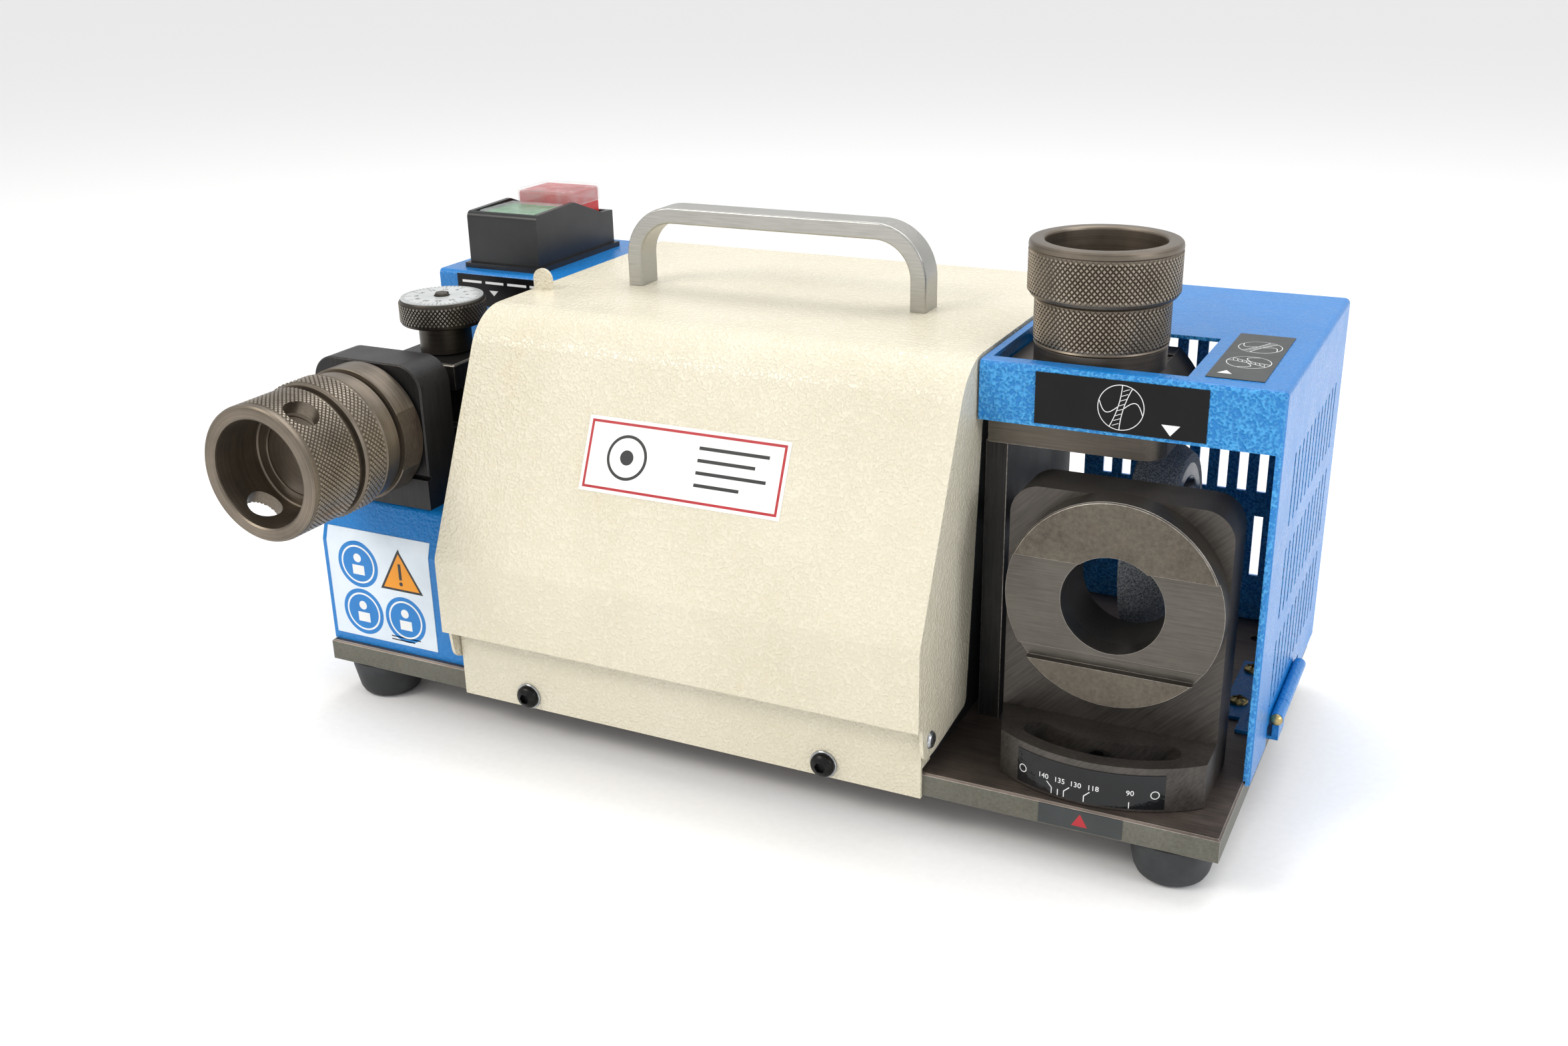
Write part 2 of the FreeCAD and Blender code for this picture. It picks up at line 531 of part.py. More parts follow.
keep("left_partition", walls["left_partition"])
window = rod(s.shaft_window, s.partition_wall * 3,
             (right_wall_x - s.partition_wall * 2, s.axle_back, s.axle_height), "x")
rear_wall = block((left_wall_x + s.partition_wall, s.partition_rear - s.partition_wall, s.plate_thick),
                  (right_wall_x, s.partition_rear, s.partition_top))
vents = []
for line in range(SIZES["vent_rows"]):
    low = s.vent_low + s.vent_rise * line
    for number in range(SIZES["vent_count"]):
        left = s.vent_first + s.vent_pitch * number
        vents.append(block((left, s.partition_rear - s.partition_wall * 2, low),
                           (left + s.vent_width, s.partition_rear + 1, low + s.vent_long)))
keep("right_partition", cut(join(walls["right_partition"], rear_wall), window, *vents))

# ---------------------------------------------------------------- motor
axle_at = (s.axle_back, s.axle_height)
motor_at = (s.motor_left, *axle_at)
motor_length = s.motor_right - s.motor_left
shell_outline = [(s.motor_radius - 5, 0), (s.motor_radius, 0), (s.motor_radius, motor_length),
                 (s.motor_radius - 5, motor_length)]
keep("motor_body", turned(shell_outline, motor_at, "x"))
bearing_out = s.bearing_radius
pocket = s.cap_length - s.bearing_width - 2
for label, start, turn in (("motor_drive_cap", s.motor_right, "x"), ("motor_tail_cap", s.motor_left, "-x")):
    cap_outline = [
        (bearing_out, pocket), (bearing_out, 0), (s.motor_radius, 0), (s.motor_radius, 3),
        (s.cap_radius, s.cap_length - 2), (s.cap_radius - 3, s.cap_length),
        (s.axle_radius + 1.5, s.cap_length), (s.axle_radius + 1.5, s.cap_length - 2),
        (bearing_out, s.cap_length - 2)]
    keep(label, turned(cap_outline, (start, *axle_at), turn))
bearing_outline = [(s.axle_radius + s.axle_play, 0), (bearing_out, 0), (bearing_out, s.bearing_width),
                   (s.axle_radius + s.axle_play, s.bearing_width)]
keep("shaft_bearings", group(
    turned(bearing_outline, (s.motor_right + pocket, *axle_at), "x"),
    turned(bearing_outline, (s.motor_left - pocket - s.bearing_width, *axle_at), "x")))
cradle_top = s.plate_thick + s.cradle_height
cradle_y = (s.axle_back - s.cradle_depth / 2, s.axle_back + s.cradle_depth / 2)
cradle = cut(block((s.cradle_left, cradle_y[0], s.plate_thick), (s.cradle_right, cradle_y[1], cradle_top)),
             rod(s.motor_radius, motor_length, motor_at, "x"))
bolt_corners = [(x, y) for x in (s.cradle_left + s.cradle_bolt_inset, s.cradle_right - s.cradle_bolt_inset)
                for y in (cradle_y[0] + 4, cradle_y[1] - 4)]
keep("motor_cradle", cut(cradle, *[rod(s.cradle_bolt, s.cradle_height, (x, y, s.plate_thick))
                                   for x, y in bolt_corners]))
cradle_bolt_outline = [
    (0, 0), (s.cradle_bolt, 0), (s.cradle_bolt, s.cradle_height),
    (s.cradle_bolt + 1.4, s.cradle_height), (s.cradle_bolt + 1.4, s.cradle_height + 4),
    (0, s.cradle_height + 4)]
keep("cradle_bolts", group(*[turned(cradle_bolt_outline, (x, y, s.plate_thick)) for x, y in bolt_corners]))
axle_start = s.motor_left - s.cap_length
keep("motor_shaft", rod(s.axle_radius, s.axle_end - axle_start, (axle_start, *axle_at), "x"))

# ---------------------------------------------------------------- grinding wheel
lean = tan_of(s.wheel_lean)
wheel_wide = s.wheel_right - s.wheel_left
right_radius = s.wheel_radius - wheel_wide * lean
rim_in, rim_out = s.wheel_radius - s.abrasive_thick, right_radius - s.abrasive_thick
offset_left, offset_right = s.boss_left - s.wheel_left, s.boss_right - s.wheel_left
hub_outline = [
    (s.axle_radius, offset_left), (s.boss_radius, offset_left), (s.boss_radius, 0), (rim_in, 0),
    (rim_out, wheel_wide), (s.dish_radius, wheel_wide), (s.dish_radius - 3, wheel_wide - s.wheel_dish),
    (s.boss_radius, wheel_wide - s.wheel_dish), (s.boss_radius, offset_right),
    (s.axle_radius, offset_right)]
keep("wheel_hub", turned(hub_outline, (s.wheel_left, *axle_at), "x"))
abrasive_outline = [(rim_in, 0), (s.wheel_radius, 0), (right_radius, wheel_wide), (rim_out, wheel_wide)]
keep("abrasive_ring", turned(abrasive_outline, (s.wheel_left, *axle_at), "x"))
nut = doc.addObject("Part::Prism", "Nut")
nut.Polygon = 6
bind(nut, "Circumradius", s.nut_radius)
bind(nut, "Height", s.nut_width)
locate(nut, (s.boss_right, *axle_at), "x")
keep("wheel_nut", cut(nut, rod(s.axle_radius, s.nut_width, (s.boss_right, *axle_at), "x")))

# ---------------------------------------------------------------- right hood
hood_left = s.cover_right + s.side_gap
outer = block((hood_left, s.hood_front, s.hood_low), (hood_right, rear_face, s.hood_top))
inner = block((hood_left + s.sheet_wall, s.hood_front + s.sheet_wall, s.hood_low),
              (hood_right - s.sheet_wall, rear_face - s.sheet_wall, s.hood_top - s.sheet_wall))


def bend_edges(left):
    """A test for a hood box's edges that are bends: all but those round its open bottom and left end."""
    tests = [edge_at(2, s.hood_low, 2), edge_at(0, left, 0)]
    return lambda edge: not any(test(edge) for test in tests)


outer = eased(outer, s.hood_bend, bend_edges(hood_left))
inner = eased(inner, s.hood_bend - s.sheet_wall, bend_edges(hood_left + s.sheet_wall))
below = s.hood_low - 1
hood_tools = [
    inner,
    block((hood_left - 1, s.hood_front - 1, below),
          (hood_right - s.hood_bend, s.hood_front + s.sheet_wall, s.flange_low)),
    block((hood_left - 1, s.hood_front + s.sheet_wall, below),
          (hood_left + s.sheet_wall, rear_face + 1, s.strip_low)),
    block((hood_left - 1, s.hood_front - 1, below),
          (hood_right - s.sheet_wall, rear_face - s.sheet_wall, s.plate_thick + s.sheet_gap)),
    block((hood_left + s.sheet_wall + s.opening_left, s.opening_front, s.hood_top - s.sheet_wall * 2),
          (s.opening_right, s.opening_rear, s.hood_top + 1)),
    block((hood_right - s.sheet_wall * 2, s.barrel_front - 4, below),
          (hood_right + 1, s.leaf_rear + 4, s.notch_rise))]
shell = cut(outer, join(*hood_tools))
slots = []
for line in range(3):
    top = s.slot_row_top - s.slot_row_drop * line
    for number in range(SIZES["slot_count"]):
        front = s.slot_first + s.slot_pitch * number
        slots.append(block((hood_right - s.sheet_wall * 2, front, top - s.slot_long),
                           (hood_right + 1, front + s.slot_width, top)))
for line in range(-1, 2):
    top = s.rear_slot_top + s.rear_row_rise * line
    for number in range(SIZES["rear_slot_count"]):
        left = s.rear_slot_first + s.rear_slot_pitch * number
        slots.append(block((left, rear_face - s.sheet_wall * 2, top - s.rear_slot_long),
                           (left + s.rear_slot_width, rear_face + 1, top)))
keep("right_hood", cut(shell, *slots))

# ---------------------------------------------------------------- hood hinge
barrel_x = hood_right + s.barrel_radius
barrel_at = (barrel_x, s.barrel_front, s.barrel_height)
pin_hole = rod(s.hinge_pin_radius, s.barrel_rear - s.barrel_front, barrel_at, "y")
fixed_knuckle = rod(s.barrel_radius, s.barrel_split - s.barrel_front, barrel_at, "y")
moving_knuckle = rod(s.barrel_radius, s.barrel_rear - s.barrel_split - s.dial_gap,
                     (barrel_x, s.barrel_split + s.dial_gap, s.barrel_height), "y")
plate_leaf = block((s.leaf_left, s.leaf_front, s.plate_thick),
                   (hood_right - s.sheet_wall, s.leaf_rear, s.plate_thick + s.leaf_wall))
leaf_arm = block((hood_right - s.sheet_wall - 2, s.barrel_front, s.plate_thick),
                 (barrel_x + s.barrel_radius / 2, s.barrel_split, s.plate_thick + s.leaf_wall))
leaf_web = block((barrel_x - s.barrel_radius / 2, s.barrel_front, s.plate_thick),
                 (barrel_x + s.barrel_radius / 2, s.barrel_split, s.barrel_height))
leaf_tongue = block((hood_right - s.sheet_wall - 12, s.barrel_front, s.plate_thick),
                    (hood_right - s.sheet_wall, s.leaf_front + 2, s.plate_thick + s.leaf_wall))
leaf_solid = join(fixed_knuckle, plate_leaf, leaf_arm, leaf_web, leaf_tongue)
keep("hinge_leaf", cut(leaf_solid, pin_hole, *[rod(s.pan_shank, s.leaf_wall, (x, y, s.plate_thick))
                                               for x, y in leaf_spots]))
pin_hole_again = rod(s.hinge_pin_radius, s.barrel_rear - s.barrel_front, barrel_at, "y")
keep("hood_knuckle", cut(moving_knuckle, pin_hole_again))
pin_length = s.barrel_rear - s.barrel_front
pin_outline = [
    (0, -2.2), (s.barrel_radius * 0.5, -1.9), (s.barrel_radius * 0.95, -0.6), (s.barrel_radius * 0.95, 0),
    (s.hinge_pin_radius, 0), (s.hinge_pin_radius, pin_length), (0, pin_length)]
keep("hinge_pin", turned(pin_outline, barrel_at, "y"))

pan_outline = [
    (0, -s.pan_grip), (s.pan_shank, -s.pan_grip), (s.pan_shank, 0), (s.pan_radius, 0),
    (s.pan_radius, s.pan_height * 0.5), (s.pan_radius * 0.8, s.pan_height * 0.9),
    (s.pan_radius * 0.4, s.pan_height), (0, s.pan_height)]
pans = [turned(pan_outline, (x, y, s.plate_thick + s.leaf_wall)) for x, y in leaf_spots]
side_outline = [
    (0, -s.sheet_wall), (s.pan_shank, -s.sheet_wall), (s.pan_shank, 0), (s.side_screw_radius, 0),
    (s.side_screw_radius, s.pan_height * 0.5), (s.side_screw_radius * 0.6, s.pan_height), (0, s.pan_height)]
side_spots = [(-half_length, y, s.side_screw_height) for y in (s.foot_front, s.axle_back, s.foot_rear)]
pans += [turned(side_outline, spot, "-x") for spot in side_spots]
keep("brass_screws", group(*pans))

# ---------------------------------------------------------------- left housing
housing_rear = rear_face - s.sheet_wall
housing_outline = [
    (s.housing_front, s.plate_thick), (s.housing_front, s.housing_crease),
    (s.deck_front, s.deck_height), (s.box_front, s.deck_height), (s.box_front, s.box_top),
    (housing_rear, s.box_top), (housing_rear, s.plate_thick)]
housing_solid = extruded("YZ", housing_outline, -half_length, s.housing_right,
                         [(s.hood_bend, [2, 4]), (s.sheet_wall, [1])])
lean_run, lean_rise = s.deck_front - s.housing_front, s.deck_height - s.housing_crease
crease_shift = half_tan(lean_run, lean_rise)
deck_shift = half_tan(lean_rise, lean_run)
wall = s.sheet_wall
housing_inside = [
    (s.housing_front + wall, s.plate_thick - 1),
    (s.housing_front + wall, s.housing_crease - wall * crease_shift),
    (s.deck_front + wall * deck_shift, s.deck_height - wall), (s.box_front + wall, s.deck_height - wall),
    (s.box_front + wall, s.box_top - wall), (housing_rear + 1, s.box_top - wall),
    (housing_rear + 1, s.plate_thick - 1)]
housing_hollow = extruded("YZ", housing_inside, -half_length + wall, s.housing_right - wall)
switch_hole = block((s.switch_left + s.switch_lap, s.switch_front + s.switch_lap, s.box_top - wall * 2),
                    (s.switch_right - s.switch_lap, s.switch_rear - s.switch_lap, s.box_top + 1))
screw_holes = [rod(s.pan_shank, wall, spot, "x") for spot in side_spots]
keep("left_housing", cut(housing_solid, housing_hollow, switch_hole, *screw_holes))

gland_at = ((-half_length + s.housing_right) / 2, rear_face, s.gland_height)
panel = block((-half_length, housing_rear, s.plate_thick), (s.housing_right, rear_face, s.box_top))
gland_hole = rod(s.gland_radius - s.gland_step, wall, (gland_at[0], housing_rear, gland_at[2]), "y")
keep("left_rear_panel", cut(panel, gland_hole))
gland_outline = [
    (s.gland_bore, -s.gland_in), (s.gland_radius - s.gland_step, -s.gland_in),
    (s.gland_radius - s.gland_step, 0),
    (s.gland_radius, 0), (s.gland_radius, s.gland_shoulder), (s.gland_radius - s.gland_step, s.gland_taper),
    (s.gland_radius - s.gland_tip, s.gland_length), (s.gland_bore, s.gland_length)]
keep("cable_gland", turned(gland_outline, gland_at, "y"))

# ---------------------------------------------------------------- switch
collar_x = (s.switch_left + s.collar_inset, s.switch_right - s.collar_inset)
collar_y = (s.switch_front + s.collar_inset, s.switch_rear - s.collar_inset)
collar_outline = [
    (collar_y[0], s.box_top), (collar_y[0], s.collar_top), (s.collar_knee, s.collar_top + 1),
    (collar_y[1] - 10, s.collar_low + 0.5), (collar_y[1], s.collar_low), (collar_y[1], s.box_top)]
collar = extruded("YZ", collar_outline, collar_x[0], collar_x[1], [(3, [1]), (8, [3])])
flange = block((s.switch_left, s.switch_front, s.box_top),
               (s.switch_right, s.switch_rear, s.box_top + s.switch_flange))
under = block((s.switch_left + s.switch_tuck, s.switch_front + s.switch_tuck, s.box_top - s.switch_under),
              (s.switch_right - s.switch_tuck, s.switch_rear - s.switch_tuck, s.box_top))
well_x = (collar_x[0] + s.collar_wall, collar_x[1] - s.collar_wall)
well_y = (collar_y[0] + s.collar_wall, collar_y[1] - s.collar_wall)
well = block((well_x[0], well_y[0], s.switch_floor), (well_x[1], well_y[1], s.collar_top + 5))
divider = block((well_x[0], s.button_split - s.divider_half, s.switch_floor),
                (well_x[1], s.button_split + s.divider_half, s.collar_low))
middle_x = (s.switch_left + s.switch_right) / 2
start_y = (well_y[0] + s.button_gap, s.button_split - s.divider_half - s.button_gap)
stop_y = (s.button_split + s.divider_half + s.button_gap, well_y[1] - s.button_gap)
button_x = (well_x[0] + s.button_gap, well_x[1] - s.button_gap)
stem_depth = s.switch_floor - s.button_travel - s.stem_under
stem_holes = [rod(s.button_stem + s.stem_play, s.switch_floor - stem_depth,
                  (middle_x, (pair[0] + pair[1]) / 2, stem_depth))
              for pair in (start_y, stop_y)]
keep("switch_housing", cut(join(cut(join(flange, collar), well), under, divider), *stem_holes))


def push_button(label, pair, top):
    """A push button on a stem, and the clear cap that covers it."""
    skirt_low = s.switch_floor + s.button_travel + s.button_rest
    low = (button_x[0] + s.cap_wall, pair[0] + s.cap_wall, skirt_low)
    high = (button_x[1] - s.cap_wall, pair[1] - s.cap_wall, top)
    upright = extruded("XY", [(low[0], low[1]), (high[0], low[1]), (high[0], high[1]), (low[0], high[1])],
                       low[2], high[2], [(s.button_round, [0, 1, 2, 3])])
    upright = eased(upright, s.button_ease, edge_at(2, top, 2))
    stem = rod(s.button_stem, skirt_low - stem_depth - s.button_travel - s.button_rest + 1,
               (middle_x, (pair[0] + pair[1]) / 2, stem_depth + s.button_travel + s.button_rest))
    keep(label + "_button", join(upright, stem))
    cap_low, cap_high = top - s.button_skirt, top + s.cap_rise
    corners = [(button_x[0], pair[0]), (button_x[1], pair[0]),
               (button_x[1], pair[1]), (button_x[0], pair[1])]
    shell = extruded("XY", corners, cap_low, cap_high, [(s.cap_round, [0, 1, 2, 3])])
    shell = eased(shell, s.button_ease, edge_at(2, cap_high, 2))
    inside = extruded("XY", [(low[0], low[1]), (high[0], low[1]), (high[0], high[1]), (low[0], high[1])],
                      cap_low - 1, top, [(s.button_round, [0, 1, 2, 3])])
    inside = eased(inside, s.button_ease, edge_at(2, top, 2))
    keep(label + "_cap", cut(shell, inside))


push_button("start", start_y, s.start_button_top)
push_button("stop", stop_y, s.stop_button_top)

# ---------------------------------------------------------------- drill setting fixture
half_arch = s.arch_width / 2
arch_x = (s.setting_axis - half_arch, s.setting_axis + half_arch)
arch_rear = s.arch_front + s.arch_thick
arch_outline = [(arch_x[0], s.deck_height), (arch_x[0], s.arch_top), (arch_x[1], s.arch_top),
                (arch_x[1], s.deck_height)]
slab_top = s.deck_height + s.slab_height
upright = extruded("XZ", arch_outline, s.arch_front, arch_rear, [(s.arch_round, [1, 2])])
relief = block((arch_x[0], s.arch_front - 1, slab_top + s.arch_step),
               (arch_x[1], s.arch_front + s.arch_recess, s.arch_top))
relief_line = block((arch_x[0], s.arch_front - 1, slab_top),
                    (arch_x[1], s.arch_front + s.arch_recess + s.arch_step, slab_top + s.arch_step))
base_slab = block((arch_x[0], arch_rear, s.deck_height), (arch_x[1], s.slab_rear, slab_top))
arch_bore = rod(s.nose_radius + s.nose_play, s.arch_thick + 2,
                (s.setting_axis, s.arch_front - 1, s.setting_height), "y")
upright = eased(cut(join(upright, base_slab), relief, relief_line), s.arch_chamfer,
                edge_at(1, s.arch_front + s.arch_recess, 1), "Part::Chamfer")
keep("setting_arch", cut(upright, arch_bore))
half_stop = s.stop_width / 2
stop_x = (s.setting_axis - half_stop, s.setting_axis + half_stop)
groove_top = s.stop_groove_low + s.stop_groove_rise
groove = block((stop_x[0], s.stop_front, s.stop_groove_low),
               (stop_x[1], s.stop_front + s.stop_groove_deep, groove_top))
stem_hole = rod(s.dial_stem + s.axle_play, s.stop_top - s.dial_stem_end + 1,
                (s.setting_axis, s.dial_back, s.dial_stem_end - 1))
stop_body = block((stop_x[0], s.stop_front, slab_top), (stop_x[1], s.slab_rear, s.stop_top))
stop_solid = eased(stop_body, s.stop_chamfer,
                   edge_at(2, s.stop_top, 2), "Part::Chamfer")
keep("stop_block", cut(stop_solid, groove, stem_hole))
slide_low = s.stop_groove_low + s.slide_play
slide_high = groove_top - s.slide_play
keep("web_stop", block(
    (stop_x[0] + s.slide_travel / 4, s.stop_front - s.slide_reach, slide_low),
    (stop_x[0] + s.slide_travel / 4 + s.slide_length,
     s.stop_front + s.stop_groove_deep - s.slide_play, slide_high)))
keep("fixture_pillar", block(
    (stop_x[0], s.arch_front + s.pillar_inset, s.plate_thick),
    (stop_x[1], s.slab_rear - s.pillar_inset, s.deck_height - s.sheet_wall)))

# ---------------------------------------------------------------- web diameter dial
collar_foot = s.stop_top + s.dial_gap
dial_outline = [
    (0, s.dial_stem_end), (s.dial_stem, s.dial_stem_end), (s.dial_stem, collar_foot),
    (s.dial_collar - s.dial_edge, collar_foot), (s.dial_collar, collar_foot + s.dial_edge),
    (s.dial_collar, s.dial_low), (s.dial_radius - s.dial_edge * 2, s.dial_low),
    (s.dial_radius, s.dial_low + s.dial_edge * 1.5), (s.dial_radius, s.dial_top - s.dial_edge),
    (s.dial_radius - s.dial_edge, s.dial_top), (0, s.dial_top)]
dial_at = (s.setting_axis, s.dial_back, 0)
hex_boss = doc.addObject("Part::Prism", "HexBoss")
hex_boss.Polygon = 6
bind(hex_boss, "Circumradius", s.dial_hex)
bind(hex_boss, "Height", s.dial_hex_rise + 1)
locate(hex_boss, (s.setting_axis, s.dial_back, s.dial_top - 1))
keep("dial_knob", join(turned(dial_outline, dial_at), hex_boss))
plate_disc = rod(s.dial_plate_radius, s.dial_plate_thick, (s.setting_axis, s.dial_back, s.dial_top))
keep("dial_plate", cut(plate_disc, rod(s.dial_hex + 0.1, s.dial_plate_thick * 3,
                                       (s.setting_axis, s.dial_back, s.dial_top - s.dial_plate_thick))))

# ---------------------------------------------------------------- drill chucks


def cup_outline(depth, radius, bore):
    """A knurled cup-shaped nut, its mouth at the start of the axis."""
    edge = s.cup_edge
    floor = depth - s.cup_floor
    return [
        (bore + edge * 0.4, 0), (radius - edge, 0), (radius, edge),
        (radius, depth - s.cup_chamfer), (radius - s.cup_chamfer, depth),
        (s.spigot_radius + s.nose_play, depth),
        (s.spigot_radius + s.nose_play, floor), (bore, floor), (bore, edge * 0.6)]


def nose_outline(collar, radius, nose, throat):
    """The rear of a chuck: collar end, nose in the port and the bore through all of it."""
    return [(radius, collar), (s.nose_radius, collar), (s.nose_radius, nose - s.nose_chamfer),
            (s.nose_radius - s.nose_chamfer, nose), (s.chuck_bore, nose), (s.chuck_bore, throat)]


left_start = s.left_cup - s.cup_floor + s.chuck_joint
left_front = (s.setting_axis, left_mouth, s.setting_height)
left_cup = turned(cup_outline(s.left_cup, s.cup_radius, s.cup_bore), left_front, "y")
tommy = rod(s.tommy_radius, s.cup_radius * 2 + 4, left_front)
tommy_turn = FreeCAD.Rotation(FreeCAD.Vector(0, 1, 0), SIZES["tommy_turn"])
reach = s.cup_radius + 2
swing = math.radians(SIZES["tommy_turn"])
locate(tommy, (s.setting_axis - reach * math.sin(swing), left_front[1] + s.tommy_place,
               s.setting_height - reach * math.cos(swing)), tommy_turn)
keep("left_chuck_nut", cut(left_cup, tommy))
neck = s.left_cup + s.chuck_joint
left_outline = [
    (s.chuck_bore, left_start), (s.spigot_radius, left_start), (s.spigot_radius, neck),
    (s.left_groove_radius, neck), (s.left_groove_radius, neck + s.left_groove),
    (s.left_ring_radius - 1, neck + s.left_groove), (s.left_ring_radius, neck + s.left_groove + 1),
    (s.left_ring_radius, s.left_ring), (s.left_collar_radius, s.left_ring),
    (s.left_collar_radius, s.left_collar - s.collar_edge),
    (s.left_collar_radius - s.collar_edge, s.left_collar), (s.left_flange_radius, s.left_collar),
    *nose_outline(s.left_flange, s.left_flange_radius, s.left_nose, left_start)[:-1]]
left_barrel = turned(left_outline, left_front, "y")
flats = []
for way in (-1, 1):
    near = s.setting_axis + way * s.left_flat
    far = s.setting_axis + way * (s.left_flange_radius + s.flat_clear)
    edges = (near, far) if way == 1 else (far, near)
    flats.append(block((edges[0], left_mouth + s.left_collar, s.setting_height - s.flat_reach),
                       (edges[1], left_mouth + s.left_flange, s.setting_height + s.flat_reach)))
keep("left_chuck_barrel", cut(left_barrel, *flats))


def collet(nose, at, axis):
    """A slotted collet in the nose of a chuck."""
    start = nose - s.collet_long
    outline = [
        (s.collet_bore, start), (s.chuck_bore, start), (s.chuck_bore, nose),
        (s.chuck_bore - s.collet_taper, nose + s.collet_out), (s.collet_bore, nose + s.collet_out)]
    return turned(outline, at, axis)


keep("left_collet", collet(s.left_nose, left_front, "y"))

right_top = (s.port_axis_x, s.port_axis_y, s.port_top + s.seat_gap + s.right_collar)
right_start = s.right_cup - s.cup_floor + s.chuck_joint
keep("right_chuck_nut", turned(
    cup_outline(s.right_cup, s.right_cup_radius, s.right_cup_bore), right_top, "-z"))
right_neck = s.right_cup + s.chuck_joint
right_outline = [
    (s.chuck_bore, right_start), (s.spigot_radius, right_start), (s.spigot_radius, right_neck),
    (s.right_ring_radius - s.cup_chamfer, right_neck),
    (s.right_ring_radius, right_neck + s.cup_chamfer),
    (s.right_ring_radius, s.right_ring), (s.right_collar_radius, s.right_ring),
    (s.right_collar_radius, s.right_collar - s.cup_chamfer),
    *nose_outline(s.right_collar, s.right_collar_radius - s.cup_chamfer, s.right_nose, right_start)[:-1]]
keep("right_chuck_barrel", turned(right_outline, right_top, "-z"))
keep("right_collet", collet(s.right_nose, right_top, "-z"))

# ---------------------------------------------------------------- web-thinning port
port_x = (s.port_left, s.port_right)
port_y = (s.port_front, s.port_rear)
port_outline = [(port_x[0], port_y[0]), (port_x[1], port_y[0]),
                (port_x[1], port_y[1]), (port_x[0], port_y[1])]
port_solid = extruded("XY", port_outline, s.port_low, s.port_top, [(s.port_round, [1, 2])])
bevel_outline = [
    (port_x[1] - s.port_chamfer, s.port_top + 1), (port_x[1] - s.port_chamfer, s.port_top),
    (port_x[1], s.port_top - s.port_chamfer), (port_x[1] + 2, s.port_top - s.port_chamfer),
    (port_x[1] + 2, s.port_top + 1)]
bevel = extruded("XZ", bevel_outline, port_y[0] - 1, port_y[1] + 1)
port_bore = rod(s.nose_radius + s.nose_play, s.port_top - s.port_low + 2,
                (s.port_axis_x, s.port_axis_y, s.port_low - 1))
small_hole = rod(s.port_pin, s.port_pin_deep + 1,
                 (s.port_axis_x + s.port_pin_right, s.port_axis_y + s.port_pin_back,
                  s.port_top - s.port_pin_deep))
keep("top_port_block", cut(port_solid, bevel, port_bore, small_hole))
column = block((s.column_left, s.column_front, s.plate_thick), (s.column_right, s.column_rear, s.port_low))
keep("top_port_column", cut(column, rod(s.shaft_window, s.column_right - s.column_left,
                                        (s.column_left, *axle_at), "x")))

# ---------------------------------------------------------------- point-angle port
swivel_low = s.plate_thick + s.swivel_lift
ledge_plan = [
    (s.bracket_left, s.face_rear), (s.bracket_left, s.face_front),
    (s.ledge_left, s.pivot_y - s.ledge_radius - s.ledge_open),
    (s.bracket_right, s.pivot_y - s.ledge_radius - s.ledge_open),
    (s.bracket_right, s.face_rear)]
ledge_block = extruded("XY", ledge_plan, swivel_low, s.ledge_top)
ledge_disc = rod(s.ledge_radius, s.ledge_top - swivel_low, (s.pivot_x, s.pivot_y, swivel_low))
ledge = common(ledge_block, ledge_disc)
face_outline = [(s.bracket_left, swivel_low), (s.bracket_left, s.face_top),
                (s.bracket_right, s.face_top), (s.bracket_right, swivel_low)]
face = extruded("XZ", face_outline, s.face_front, s.face_rear, [(s.face_round, [1, 2])])
tongue = join(
    block((s.pivot_x - s.tongue_half, s.face_rear - 1, swivel_low),
          (s.pivot_x + s.tongue_half, s.pivot_y, s.tongue_top)),
    rod(s.tongue_half, s.tongue_top - swivel_low, (s.pivot_x, s.pivot_y, swivel_low)))


def arc_slot(half, low, high):
    """A slot that follows an arc about the swivel pivot."""
    span = SIZES["slot_left"] + SIZES["slot_right"]
    sector_turn = FreeCAD.Rotation(FreeCAD.Vector(0, 0, 1), -90 - SIZES["slot_left"])
    ring = []
    for radius in (s.slot_radius + half, s.slot_radius - half):
        sector = rod(radius, high - low, (s.pivot_x, s.pivot_y, low))
        sector.Angle = span
        locate(sector, (s.pivot_x, s.pivot_y, low), sector_turn)
        ring.append(sector)
    ends = []
    for angle in (-90 - SIZES["slot_left"], -90 + SIZES["slot_right"]):
        way = math.radians(angle)
        ends.append(rod(half, high - low, (s.pivot_x + s.slot_radius * math.cos(way),
                                           s.pivot_y + s.slot_radius * math.sin(way), low)))
    return join(cut(*ring), *ends)


seat_through = rod(s.seat_bore, s.face_rear - s.face_front + 2,
                   (s.seat_axis, s.face_front - 1, s.seat_height), "y")
pivot_hole = rod(s.pivot_radius + s.axle_play, s.tongue_top, (s.pivot_x, s.pivot_y, s.plate_thick))
bracket_solid = cut(join(ledge, face, tongue), seat_through, pivot_hole,
                    arc_slot(s.slot_half, s.slot_floor, s.ledge_top + 1),
                    arc_slot(s.slot_low_half, s.plate_thick, s.slot_floor + 1))
keep("port_bracket", bracket_solid)
pivot_outline = [
    (0, 0), (s.pivot_radius, 0), (s.pivot_radius, s.tongue_top + s.pivot_seat),
    (s.pivot_radius + s.pivot_head, s.tongue_top + s.pivot_seat),
    (s.pivot_radius + s.pivot_crown, s.tongue_top + s.pivot_head), (0, s.tongue_top + s.pivot_head)]
keep("pivot_pin", turned(pivot_outline, (s.pivot_x, s.pivot_y, 0)))
